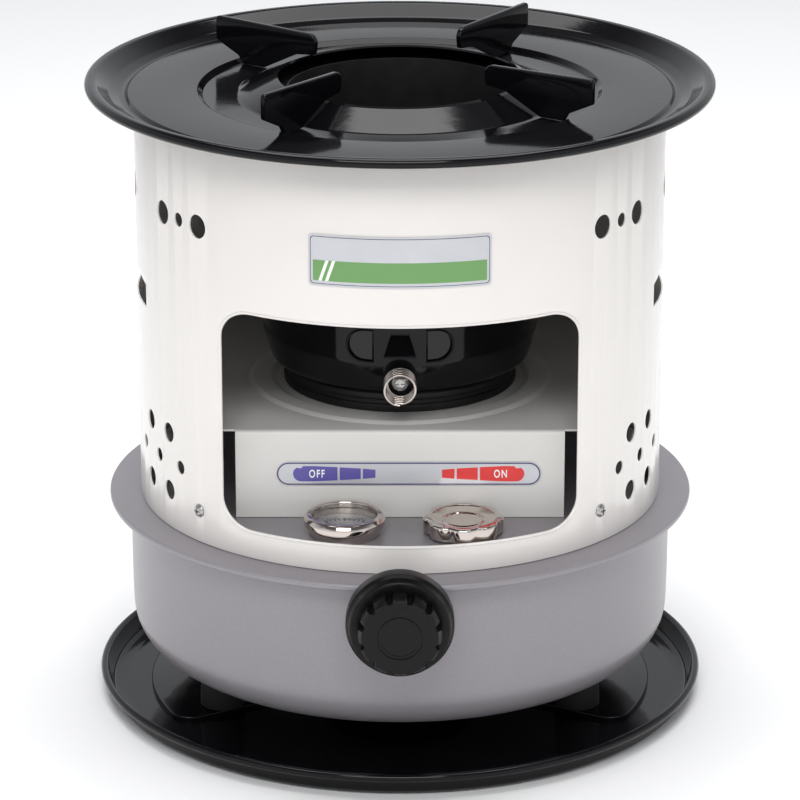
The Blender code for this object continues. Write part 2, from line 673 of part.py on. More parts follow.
def filler():
    chrome = ((0.62, 0.58, 0.57), 0.12, 1.0)
    at = (FILLER_X, FILLER_Y, 0)
    bore = NECK_RADIUS - NECK_WALL
    flange_low = PLATEAU_TOP + GAP
    flange_high = flange_low + NECK_FLANGE_THICKNESS
    section = [(bore, NECK_TOP), (NECK_RADIUS, NECK_TOP), (NECK_RADIUS, flange_high),
               (NECK_FLANGE_RADIUS, flange_high), (NECK_FLANGE_RADIUS, flange_low),
               (NECK_RADIUS, flange_low), (NECK_RADIUS, NECK_BOTTOM), (bore, NECK_BOTTOM)]
    turned("filler_neck", section, chrome, MEDIUM_STEPS, at)
    seal_low = NECK_TOP + GAP
    section = ring(NECK_RADIUS - SEAL_WIDTH, NECK_RADIUS, seal_low, seal_low + SEAL_THICKNESS)
    turned("cap_seal", section, ((0.02, 0.02, 0.02), 0.7), MEDIUM_STEPS, at)
    low = PLATEAU_TOP + CAP_SKIRT_CLEARANCE
    frame = Matrix.Translation((FILLER_X, FILLER_Y, low))
    outline = lobed(CAP_RADIUS, CAP_LOBE_DEPTH, CAP_LOBES, 6, 2)
    outline.reverse()
    cap = prism("filler_cap", outline, CAP_TOP - low, chrome, frame, CAP_EDGE_RADIUS)
    hollow_radius = CAP_RADIUS - CAP_LOBE_DEPTH - CAP_WALL
    hollow = turned("cap_hollow", cylinder(hollow_radius, low - OVERRUN, CAP_UNDERSIDE), None,
                    MEDIUM_STEPS, at)
    recess_floor = CAP_TOP - CAP_RECESS_DEPTH
    recess = turned("cap_recess", cylinder(CAP_RECESS_RADIUS, recess_floor, CAP_TOP + OVERRUN), None,
                    MEDIUM_STEPS, at)
    combine(cap, [hollow, recess])


def gauge():
    chrome = ((0.62, 0.58, 0.57), 0.12, 1.0)
    at = (GAUGE_X, GAUGE_Y, 0)
    low = PLATEAU_TOP + GAP
    top = low + BEZEL_HEIGHT
    floor = low + BEZEL_FLOOR_HEIGHT
    lip = BEZEL_BORE_RADIUS - BEZEL_LIP
    lens_top = top - BEZEL_LIP - GAP
    lens_low = lens_top - LENS_THICKNESS
    groove_low = lens_low - GAP
    groove_high = lens_top + GAP
    section = [(lip, top), (BEZEL_RADIUS - 2 * BEZEL_LIP, top), (BEZEL_RADIUS, top - 2 * BEZEL_LIP),
               (BEZEL_RADIUS, floor + BEZEL_LIP), (BEZEL_FOOT_RADIUS, low + BEZEL_LIP),
               (BEZEL_FOOT_RADIUS, low), (BEZEL_FLOOR_BORE_RADIUS, low),
               (BEZEL_FLOOR_BORE_RADIUS, floor), (BEZEL_BORE_RADIUS, floor),
               (BEZEL_BORE_RADIUS, groove_low - BEZEL_LIP), (lip, groove_low - BEZEL_LIP),
               (lip, groove_low), (BEZEL_BORE_RADIUS, groove_low), (BEZEL_BORE_RADIUS, groove_high),
               (lip, groove_high)]
    turned("gauge_bezel", section, chrome, MEDIUM_STEPS, at)
    inside = BEZEL_BORE_RADIUS - GAP
    turned("gauge_lens", cylinder(inside, lens_low, lens_top), ((0.9, 0.92, 0.92), 0.02), MEDIUM_STEPS,
           at)
    dial_low = floor + GAP
    dial = turned("gauge_dial", cylinder(inside, dial_low, dial_low + DIAL_THICKNESS),
                  ((0.75, 0.74, 0.70), 0.4), MEDIUM_STEPS, at)
    half_length = DIAL_SLOT_LENGTH / 2
    half_width = DIAL_SLOT_WIDTH / 2
    slot = box("dial_slot", (GAUGE_X - half_length, GAUGE_PIVOT_Y - half_width, floor - OVERRUN),
               (GAUGE_X + half_length, GAUGE_PIVOT_Y + half_width, floor + OVERRUN))
    combine(dial, [slot])


def float_gear():
    """Bracket under the tank's lid, with the pointer wire that the float swings."""
    steel = ((0.5, 0.5, 0.52), 0.3, 1.0)
    plate_top = PLATEAU_TOP - SHEET - GAP
    plate_low = plate_top - SHEET
    half_x = PIVOT_PLATE_LENGTH / 2
    half_y = PIVOT_PLATE_WIDTH / 2
    bracket = box("gauge_pivot_bracket", (GAUGE_X - half_x, GAUGE_Y - half_y, plate_low),
                  (GAUGE_X + half_x, GAUGE_Y + half_y, plate_top))
    bracket.hide_render = False
    bracket.display_type = "TEXTURED"
    CUTTERS.objects.unlink(bracket)
    PARTS.objects.link(bracket)
    bracket.data.materials.append(material("gauge_pivot_bracket", *steel))
    half_ear = PIVOT_EAR_WIDTH / 2
    ear_low = GAUGE_PIVOT_Z - PIVOT_EAR_EXTRA
    inner = PIVOT_EAR_SPACING / 2
    slot_x = (DIAL_SLOT_LENGTH + PIVOT_EAR_WIDTH) / 2
    opening = box("bracket_opening", (GAUGE_X - slot_x, GAUGE_PIVOT_Y - inner, plate_low - OVERRUN),
                  (GAUGE_X + slot_x, GAUGE_PIVOT_Y + inner, plate_top + OVERRUN))
    ears = []
    for side in (-1, 1):
        near, far = sorted((side * inner, side * (inner + SHEET)))
        ears.append(box(f"ear_{side}", (GAUGE_X - half_ear, GAUGE_PIVOT_Y + near, ear_low),
                        (GAUGE_X + half_ear, GAUGE_PIVOT_Y + far, plate_low + SHEET / 2)))
    pin_reach = inner + SHEET + PIVOT_PIN_OVERHANG
    bore = rods("pivot_bore", [((GAUGE_X, GAUGE_PIVOT_Y - pin_reach, GAUGE_PIVOT_Z),
                                (GAUGE_X, GAUGE_PIVOT_Y + pin_reach, GAUGE_PIVOT_Z),
                                FLOAT_WIRE_RADIUS + GAP)])
    combine(bracket, ears, "UNION")
    combine(bracket, [opening, bore])
    pivot = Vector((GAUGE_X, GAUGE_PIVOT_Y, GAUGE_PIVOT_Z))
    tip = pivot + Vector((sin(POINTER_TILT), 0, cos(POINTER_TILT))) * POINTER_LENGTH
    float_x = GAUGE_X - FLOAT_REACH_X
    float_z = GAUGE_PIVOT_Z - FLOAT_DROP
    elbow = pivot - Vector((FLOAT_ELBOW_REACH, 0, FLOAT_ELBOW_REACH * FLOAT_DROP / FLOAT_REACH_X))
    front_end = FLOAT_Y - FLOAT_LENGTH / 2 - 2 * FLOAT_WIRE_END_LENGTH
    rear_end = FLOAT_Y + FLOAT_LENGTH / 2 + FLOAT_WIRE_END_LENGTH
    route = [tip, pivot, elbow, (float_x, front_end, float_z), (float_x, rear_end, float_z)]
    arm = place("float_arm", wire("float_arm", route, FLOAT_WIRE_RADIUS), ((0.7, 0.03, 0.03), 0.4))
    pin = rods("pivot_pin", [((GAUGE_X, GAUGE_PIVOT_Y - pin_reach, GAUGE_PIVOT_Z),
                              (GAUGE_X, GAUGE_PIVOT_Y + pin_reach, GAUGE_PIVOT_Z), FLOAT_WIRE_RADIUS)])
    combine(arm, [pin], "UNION")
    half = FLOAT_LENGTH / 2
    bore_radius = FLOAT_WIRE_RADIUS + GAP
    soft = FLOAT_RADIUS - FLOAT_ROUNDING
    section = [(bore_radius, half), (soft, half), (FLOAT_RADIUS, half - FLOAT_ROUNDING),
               (FLOAT_RADIUS, FLOAT_ROUNDING - half), (soft, -half), (bore_radius, -half)]
    turned("gauge_float", section, ((0.55, 0.42, 0.25), 0.7), SMALL_STEPS, (float_x, FLOAT_Y, float_z),
           ABOUT_Y)


def wick_parts():
    steel = ((0.5, 0.5, 0.52), 0.35, 1.0)
    flange_low = TANK_FLOOR + GAP
    flange_high = flange_low + SHEET
    section = [(DRAUGHT_BORE, DRAUGHT_TOP), (DRAUGHT_RADIUS, DRAUGHT_TOP),
               (DRAUGHT_RADIUS, flange_high), (DRAUGHT_RADIUS + DRAUGHT_FLANGE_WIDTH, flange_high),
               (DRAUGHT_RADIUS + DRAUGHT_FLANGE_WIDTH, flange_low), (DRAUGHT_RADIUS, flange_low),
               (DRAUGHT_RADIUS, TANK_BOTTOM), (DRAUGHT_BORE, TANK_BOTTOM)]
    turned("draught_tube", section, steel, BURNER_STEPS)
    turned("wick", ring(WICK_INNER_RADIUS, WICK_OUTER_RADIUS, WICK_BOTTOM, WICK_TOP),
           ((0.8, 0.77, 0.68), 0.95), BURNER_STEPS)
    foot = PLATEAU_TOP + GAP
    section = [(OUTER_TUBE_INNER_RADIUS, OUTER_TUBE_TOP), (OUTER_TUBE_RADIUS, OUTER_TUBE_TOP),
               (OUTER_TUBE_RADIUS, foot + SHEET), (OUTER_TUBE_FLANGE_RADIUS, foot + SHEET),
               (OUTER_TUBE_FLANGE_RADIUS, foot), (OUTER_TUBE_INNER_RADIUS, foot)]
    turned("wick_outer_tube", section, steel, BURNER_STEPS)
    carrier = turned("wick_carrier", ring(CARRIER_INNER_RADIUS, CARRIER_RADIUS, CARRIER_BOTTOM,
                                          CARRIER_TOP), steel, BURNER_STEPS)
    pitch = 2 * pi * PINION_PITCH_RADIUS / PINION_TEETH
    back = -PINION_PITCH_RADIUS - TOOTH_DEDENDUM - RACK_BACK_THICKNESS
    root = -PINION_PITCH_RADIUS - TOOTH_DEDENDUM
    tip = -PINION_PITCH_RADIUS + TOOTH_ADDENDUM
    low = CARRIER_BOTTOM + GAP
    high = low + pitch * RACK_TEETH
    outline = [(back, high), (back, low)]
    first = ceil((low - SHAFT_HEIGHT) / pitch - 0.5 + TOOTH_ROOT_SHARE / 2)
    for number in range(first, first + RACK_TEETH):
        middle = SHAFT_HEIGHT + pitch * (number + 0.5)
        if middle + pitch * TOOTH_ROOT_SHARE / 2 < high:
            outline += [(root, middle - pitch * TOOTH_ROOT_SHARE / 2),
                        (tip, middle - pitch * TOOTH_TIP_SHARE / 2),
                        (tip, middle + pitch * TOOTH_TIP_SHARE / 2),
                        (root, middle + pitch * TOOTH_ROOT_SHARE / 2)]
    outline[2:2] = [(root, low)]
    outline.append((root, high))
    outline.reverse()
    near = CARRIER_RADIUS + TOOTH_ADDENDUM - RACK_WEB_SINK
    rack = prism("rack", outline, RACK_WIDTH, frame=Matrix.Translation((0, -near, 0)) @ ABOUT_Y)
    deep = sqrt((CARRIER_INNER_RADIUS + RACK_WEB_SINK / 2) ** 2 - root ** 2)
    web = box("rack_web", (back, -near - RACK_WIDTH / 2, low + GAP), (root - GAP, -deep, high - GAP))
    combine(carrier, [rack, web], "UNION")


def shaft_parts():
    steel = ((0.55, 0.55, 0.57), 0.25, 1.0)
    brass = ((0.60, 0.45, 0.20), 0.3, 1.0)
    at = (0, 0, SHAFT_HEIGHT)
    end = CARRIER_RADIUS + SHAFT_END_CLEARANCE
    section = cylinder(SHAFT_RADIUS, PINION_FRONT + GAP, KNOB_BACK + SHAFT_KNOB_DEPTH)
    section[-2:] = [(SHAFT_RADIUS, PINION_FRONT + GAP), (SHAFT_TIP_RADIUS, PINION_FRONT + GAP),
                    (SHAFT_TIP_RADIUS, end), (0, end)]
    turned("wick_shaft", section, steel, SMALL_STEPS, at, ABOUT_Y)
    outline = []
    for tooth in range(PINION_TEETH):
        middle = pi / 2 + 2 * pi * tooth / PINION_TEETH
        for reach, share in ((PINION_PITCH_RADIUS - TOOTH_DEDENDUM, -TOOTH_ROOT_SHARE),
                             (PINION_PITCH_RADIUS, -TOOTH_PITCH_SHARE),
                             (PINION_PITCH_RADIUS + TOOTH_ADDENDUM, -TOOTH_TIP_SHARE),
                             (PINION_PITCH_RADIUS + TOOTH_ADDENDUM, TOOTH_TIP_SHARE),
                             (PINION_PITCH_RADIUS, TOOTH_PITCH_SHARE),
                             (PINION_PITCH_RADIUS - TOOTH_DEDENDUM, TOOTH_ROOT_SHARE)):
            angle = middle + share * pi / PINION_TEETH * PINION_PITCH_RADIUS / reach
            outline.append((-reach * sin(angle), reach * cos(angle)))
    front = PINION_FRONT - PINION_THICKNESS
    frame = Matrix.Translation((0, -front, SHAFT_HEIGHT)) @ ABOUT_Y
    pinion = prism("pinion", outline, PINION_THICKNESS, brass, frame)
    bore = rods("pinion_bore", [((0, -front + OVERRUN, SHAFT_HEIGHT),
                                 (0, -PINION_FRONT - OVERRUN, SHAFT_HEIGHT), SHAFT_TIP_RADIUS + GAP)],
                SMALL_STEPS)
    combine(pinion, [bore])
    top = PLATEAU_TOP - SHEET - GAP
    low = SHAFT_HEIGHT - BEARING_BELOW_SHAFT
    line = [(BEARING_Y, low), (BEARING_Y, top), (BEARING_Y - BEARING_FOOT_LENGTH, top)]
    outline = sheet(line, -BEARING_SHEET)
    half = BEARING_WIDTH / 2
    hanger = prism("inner_bearing", outline, BEARING_WIDTH, steel,
                   Matrix.Translation((-half, 0, 0)) @ SIDE_FRAME)
    bore = rods("bearing_bore", [((0, BEARING_Y - OVERRUN, SHAFT_HEIGHT),
                                  (0, BEARING_Y + OVERRUN, SHAFT_HEIGHT), SHAFT_RADIUS + GAP)],
                SMALL_STEPS)
    combine(hanger, [bore])
    wall_inside = TANK_RADIUS - SHEET - GAP - BUSH_FLANGE_RADIUS * tan(pi / LARGE_STEPS)
    neck_end = TANK_RADIUS + BUSH_NECK_LENGTH
    bore_radius = SHAFT_RADIUS + GAP
    section = [(bore_radius, neck_end), (BUSH_RADIUS, neck_end), (BUSH_RADIUS, wall_inside),
               (BUSH_FLANGE_RADIUS, wall_inside), (BUSH_FLANGE_RADIUS,
                                                   wall_inside - BUSH_FLANGE_THICKNESS),
               (bore_radius, wall_inside - BUSH_FLANGE_THICKNESS)]
    turned("shaft_bush", section, brass, SMALL_STEPS, at, ABOUT_Y)
    corner = GLAND_FLATS_RADIUS / cos(pi / 6)
    outline = [(corner * cos(pi * step / 3), corner * sin(pi * step / 3)) for step in range(6)]
    base = TANK_RADIUS + GAP
    nut = prism("gland_nut", outline, GLAND_LENGTH, brass,
                Matrix.Translation((0, -base, SHAFT_HEIGHT)) @ ABOUT_Y)
    thread = rods("nut_thread", [((0, OVERRUN - base, SHAFT_HEIGHT), (0, -neck_end - GAP, SHAFT_HEIGHT),
                                  BUSH_RADIUS + GAP)], SMALL_STEPS)
    mouth = rods("nut_mouth", [((0, -neck_end, SHAFT_HEIGHT),
                                (0, -base - GLAND_LENGTH - OVERRUN, SHAFT_HEIGHT), bore_radius)],
                 SMALL_STEPS)
    combine(nut, [thread, mouth])


def wick_knob():
    black = ((0.012, 0.012, 0.013), 0.35)
    at = (0, -KNOB_BACK, SHAFT_HEIGHT)
    hollow = KNOB_SKIRT_RADIUS - KNOB_WALL
    core = KNOB_GRIP_RADIUS - KNOB_LOBE_DEPTH - KNOB_EDGE_RADIUS
    section = [(0, KNOB_SHOULDER_HEIGHT + GAP), (core, KNOB_SHOULDER_HEIGHT + GAP),
               (core, KNOB_SHOULDER_HEIGHT), (KNOB_SHOULDER_RADIUS, KNOB_SHOULDER_HEIGHT),
               (KNOB_SKIRT_RADIUS, KNOB_SKIRT_THICKNESS), (KNOB_SKIRT_RADIUS, KNOB_EDGE_RADIUS),
               (KNOB_SKIRT_RADIUS - KNOB_EDGE_RADIUS, 0), (hollow, 0), (hollow, KNOB_HOLLOW_DEPTH),
               (KNOB_HUB_RADIUS, KNOB_HOLLOW_DEPTH), (KNOB_HUB_RADIUS, 0), (0, 0)]
    knob = turned("wick_knob", section, black, BURNER_STEPS, at, ABOUT_Y)
    outline = lobed(KNOB_GRIP_RADIUS, KNOB_LOBE_DEPTH, KNOB_LOBES, 5, 1.5)
    outline.reverse()
    base = KNOB_SHOULDER_HEIGHT - KNOB_EDGE_RADIUS
    grip = prism("knob_grip", outline, KNOB_HEIGHT - base,
                 frame=Matrix.Translation((0, -KNOB_BACK - base, SHAFT_HEIGHT)) @ ABOUT_Y,
                 bevel=KNOB_EDGE_RADIUS)
    bore_end = KNOB_BACK + SHAFT_KNOB_DEPTH + GAP
    bore = rods("knob_bore", [((0, OVERRUN - KNOB_BACK, SHAFT_HEIGHT), (0, -bore_end, SHAFT_HEIGHT),
                               SHAFT_RADIUS + GAP)], SMALL_STEPS)
    half = KNOB_GROOVE_WIDTH / 2
    groove = turned("knob_groove", ring(KNOB_GROOVE_RADIUS - half, KNOB_GROOVE_RADIUS + half,
                                        KNOB_HEIGHT - KNOB_GROOVE_DEPTH, KNOB_HEIGHT + OVERRUN), None,
                    MEDIUM_STEPS, at, ABOUT_Y)
    combine(knob, [grip], "UNION")
    combine(knob, [bore, groove])


def burner():
    black = ((0.010, 0.010, 0.012), 0.18)
    steel = ((0.35, 0.34, 0.34), 0.45, 1.0)
    low = DECK_TOP + GAP
    bore = OUTER_TUBE_RADIUS + BASE_RING_BORE_CLEARANCE
    web = OUTER_TUBE_TOP + GAP
    section = [(bore, BASE_RING_TOP), (BASE_RING_RADIUS - BASE_RING_CHAMFER, BASE_RING_TOP),
               (BASE_RING_RADIUS, BASE_RING_TOP - BASE_RING_CHAMFER), (BASE_RING_RADIUS, low),
               (BASE_RING_RADIUS - BASE_RING_SKIRT, low), (BASE_RING_RADIUS - BASE_RING_SKIRT, web),
               (bore, web)]
    turned("burner_base_ring", section, ((0.03, 0.028, 0.027), 0.5, 0.6), BURNER_STEPS)
    foot = BASE_RING_TOP + GAP
    line = rounded([(DRUM_NECK_RADIUS, DRUM_TOP, 0), (DRUM_NECK_RADIUS, DRUM_NECK_BOTTOM, 0),
                    (DRUM_RADIUS, DRUM_WALL_TOP, 2 * DRUM_LIP_WIDTH),
                    (DRUM_RADIUS, DRUM_WALL_BOTTOM, DRUM_LIP_WIDTH),
                    (DRUM_RADIUS - DRUM_FOOT_BULGE, foot + DRUM_FOOT_BULGE, 0),
                    (DRUM_FOOT_RADIUS, foot, 0), (DRUM_FOOT_RADIUS - DRUM_LIP_WIDTH, foot, 0)])
    drum = turned("burner_drum", sheet(line, THIN_SHEET), black, BURNER_STEPS)
    straight = VIEW_HALF_WIDTH - VIEW_HALF_HEIGHT
    for side in (-1, 1):
        arc = [radians(90) - radians(180) * step / 6 for step in range(7)]
        outline = [(side * VIEW_BAR_HALF_WIDTH, VIEW_HEIGHT + VIEW_HALF_HEIGHT)]
        outline += [(side * (straight + VIEW_HALF_HEIGHT * cos(turn)),
                     VIEW_HEIGHT + VIEW_HALF_HEIGHT * sin(turn)) for turn in arc]
        outline.append((side * VIEW_BAR_HALF_WIDTH, VIEW_HEIGHT - VIEW_HALF_HEIGHT))
        frame = Matrix.Translation((0, -DRUM_NECK_RADIUS + OVERRUN, 0)) @ ABOUT_Y
        combine(drum, [prism(f"view_{side}", outline, DRUM_RADIUS - DRUM_NECK_RADIUS + 2 * OVERRUN,
                             frame=frame)])
    reach = DRUM_RADIUS + OVERRUN
    combine(drum, [rods("drum_pin_bore", [((-reach, 0, PIN_HEIGHT), (reach, 0, PIN_HEIGHT),
                                           PIN_RADIUS + GAP)])])
    pane = (DRUM_RADIUS - THIN_SHEET) * cos(pi / BURNER_STEPS) - GAP
    half_pane = VIEW_HALF_HEIGHT + VIEW_PANE_MARGIN
    sector("view_window", ring(pane - VIEW_PANE_THICKNESS, pane, VIEW_HEIGHT - half_pane,
                               VIEW_HEIGHT + half_pane), -VIEW_PANE_HALF_ANGLE, VIEW_PANE_HALF_ANGLE, 6,
           ((0.35, 0.30, 0.22), 0.1))
    pin_reach = DRUM_RADIUS + PIN_OVERHANG
    turned("burner_cross_pin", cylinder(PIN_RADIUS, -pin_reach, pin_reach), steel, HOLE_SIDES,
           (0, 0, PIN_HEIGHT), Matrix.Rotation(pi / 2, 4, "Y"))
    tubes = (("inner_flame_tube", DRAUGHT_RADIUS, DRAUGHT_TOP + GAP, 0),
             ("outer_flame_tube", OUTER_FLAME_TUBE_RADIUS, foot, 0.5))
    for name, radius, bottom, shift_share in tubes:
        tube = turned(name, ring(radius - THIN_SHEET, radius, bottom, FLAME_TUBE_TOP), steel,
                      BURNER_STEPS)
        rise = (FLAME_TUBE_TOP - bottom) / (FLAME_HOLE_ROWS + 1)
        holes = []
        for row in range(1, FLAME_HOLE_ROWS + 1):
            height = bottom + rise * row
            for number in range(FLAME_HOLES_PER_ROW):
                angle = 2 * pi * (number + shift_share + row % 2 / 2) / FLAME_HOLES_PER_ROW
                holes.append((polar(radius - OVERRUN, angle, height),
                              polar(radius + OVERRUN, angle, height), FLAME_HOLE_RADIUS))
        pin_bores = [((side * (radius - OVERRUN), 0, PIN_HEIGHT),
                      (side * (radius + OVERRUN), 0, PIN_HEIGHT), PIN_RADIUS + GAP) for side in (-1, 1)]
        combine(tube, [rods(f"{name}_holes", holes, SMALL_HOLE_SIDES),
                       rods(f"{name}_pin_bores", pin_bores)])
    low = FLAME_TUBE_TOP + GAP
    brim = DRAUGHT_RADIUS + SPREADER_OVERHANG
    section = [(0, low + SPREADER_HEIGHT), (brim / 2, low + SPREADER_HEIGHT * 0.9), (brim, low + SHEET),
               (brim, low), (0, low)]
    turned("flame_spreader", section, steel, BURNER_STEPS)


def handle():
    steel = ((0.5, 0.5, 0.5), 0.2, 1.0)
    chrome = ((0.8, 0.8, 0.82), 0.08, 1.0)
    skin = DRUM_RADIUS + GAP
    line = [(-skin - STRAP_THICKNESS, STRAP_TOP), (-skin - STRAP_THICKNESS, STRAP_UPPER_BEND),
            (-STRAP_FACE, STRAP_LOWER_BEND), (-STRAP_FACE, STRAP_BOTTOM)]
    half = STRAP_WIDTH / 2
    strap = prism("handle_bracket", sheet(line, -STRAP_THICKNESS), STRAP_WIDTH,
                  ((0.02, 0.02, 0.02), 0.3), Matrix.Translation((-half, 0, 0)) @ SIDE_FRAME)
    narrow = STRAP_TOP_WIDTH / 2
    for side in (-1, 1):
        outline = [(side * half, STRAP_LOWER_BEND), (side * narrow, STRAP_UPPER_BEND),
                   (side * narrow, STRAP_TOP + OVERRUN), (side * (half + OVERRUN), STRAP_TOP + OVERRUN),
                   (side * (half + OVERRUN), STRAP_LOWER_BEND)]
        frame = Matrix.Translation((0, OVERRUN - DRUM_NECK_RADIUS, 0)) @ ABOUT_Y
        combine(strap, [prism(f"strap_taper_{side}", outline,
                              STRAP_FACE - DRUM_NECK_RADIUS + 3 * OVERRUN, frame=frame)])
    bore = rods("strap_bore", [((0, -STRAP_FACE - OVERRUN, HANDLE_HEIGHT),
                                (0, OVERRUN - STRAP_FACE, HANDLE_HEIGHT),
                                HANDLE_SCREW_SHANK_RADIUS + GAP)])
    combine(strap, [bore])
    start = STRAP_FACE + GAP + COIL_WIRE_RADIUS
    points = []
    count = ceil((COIL_START_TURNS + COIL_TURNS) * COIL_POINTS_PER_TURN)
    for index in range(count + 1):
        turns = index / COIL_POINTS_PER_TURN
        share = min(1, turns / COIL_START_TURNS)
        radius = COIL_START_RADIUS + (COIL_RADIUS - COIL_START_RADIUS) * share
        advance = max(0, turns - COIL_START_TURNS) * COIL_PITCH
        angle = 2 * pi * turns
        points.append((radius * cos(angle), -start - advance, HANDLE_HEIGHT + radius * sin(angle)))
    apart = COIL_POINTS_PER_TURN // 2
    least = min((Vector(points[near]) - Vector(points[far])).length for near in range(count)
                for far in range(near + apart, count + 1))
    print(f"spring handle least gap to itself {1000 * (least - 2 * COIL_WIRE_RADIUS):.2f} mm")
    place("spring_handle", wire("spring_handle", points, COIL_WIRE_RADIUS, 1), chrome)
    head_low = start + COIL_WIRE_RADIUS + GAP
    shank_low = STRAP_FACE - 2 * STRAP_THICKNESS
    screw("handle_screw", HANDLE_SCREW_HEAD_RADIUS, HANDLE_SCREW_HEAD_RADIUS / 2,
          HANDLE_SCREW_SHANK_RADIUS, head_low - shank_low,
          Matrix.Translation((0, -head_low, HANDLE_HEIGHT)) @ ABOUT_Y, steel)


def screw(name, head_radius, head_height, shank_radius, length, frame, look):
    """A cross-head screw whose head stands on the frame's XY plane, with its shank below."""
    crown_radius, crown_height = SCREW_CROWN_SHARES
    section = [(0, head_height), (head_radius * crown_radius, head_height * crown_height),
               (head_radius, head_height / 3), (head_radius, 0), (shank_radius, 0),
               (shank_radius, -length), (0, -length)]
    made = turned(name, section, look, SMALL_STEPS)
    made.matrix_world = frame
    half = RECESS_WIDTH / 2
    reach = head_radius * RECESS_REACH_SHARE
    for number, (x, y) in enumerate(((reach, half), (half, reach))):
        arm = box(f"{name}_recess_{number}", (-x, -y, head_height / 2), (x, y, head_height + OVERRUN))
        arm.matrix_world = frame
        combine(made, [arm])


def deck():
    cream = ((0.62, 0.60, 0.57), 0.35)
    steps = range(LARGE_STEPS)
    circle = [(DECK_RADIUS * cos(2 * pi * step / LARGE_STEPS),
               DECK_RADIUS * sin(2 * pi * step / LARGE_STEPS)) for step in steps]
    low = DECK_TOP - SHEET
    deck_plate = prism("deck", circle, SHEET, cream, Matrix.Translation((0, 0, low)))
    bend = DECK_FRONT - DECK_BEND_RADIUS
    cuts = [box("deck_front_cut", (-SHELL_RADIUS, -SHELL_RADIUS, low - OVERRUN),
                (SHELL_RADIUS, -bend, DECK_TOP + OVERRUN))]
    combine(deck_plate, cuts)
    foot = PLATEAU_TOP + GAP
    lap = bend - DECK_BEND_RADIUS
    legs = []
    for side, half_width in ((-1, DECK_APRON_HALF_WIDTH), (1, DECK_REAR_LEG_HALF_WIDTH)):
        line = rounded([(side * lap, DECK_TOP, 0), (side * DECK_FRONT, DECK_TOP, DECK_BEND_RADIUS),
                        (side * DECK_FRONT, foot, 0)])
        section = sheet(line, SHEET * side)
        legs.append(prism(f"leg_{side}", section, 2 * half_width,
                          frame=Matrix.Translation((-half_width, 0, 0)) @ SIDE_FRAME))
    combine(deck_plate, [legs[0]], "UNION")
    rear_cut = box("deck_rear_cut", (-DECK_REAR_LEG_HALF_WIDTH, lap + SHEET, low - OVERRUN),
                   (DECK_REAR_LEG_HALF_WIDTH, SHELL_RADIUS, DECK_TOP + OVERRUN))
    combine(deck_plate, [rear_cut])
    combine(deck_plate, [legs[1]], "UNION")
    bore = turned("deck_bore", cylinder(OUTER_TUBE_RADIUS + DECK_BORE_CLEARANCE, low - OVERRUN,
                                        DECK_TOP + OVERRUN), None, BURNER_STEPS)
    combine(deck_plate, [bore])
    end = CONTROL_PLATE_HEIGHT / 2
    straight = CONTROL_PLATE_LENGTH / 2 - end
    arc = [radians(90) - radians(180) * step / 6 for step in range(7)]
    outline = [(side * (straight + end * cos(turn)), side * end * sin(turn)) for side in (1, -1)
               for turn in arc]
    frame = Matrix.Translation((CONTROL_PLATE_OFFSET, -DECK_FRONT - GAP,
                                CONTROL_PLATE_MIDDLE)) @ ABOUT_Y
    prism("control_plate", outline, PLATE_FOIL, ((0.7, 0.72, 0.75), 0.3), frame)


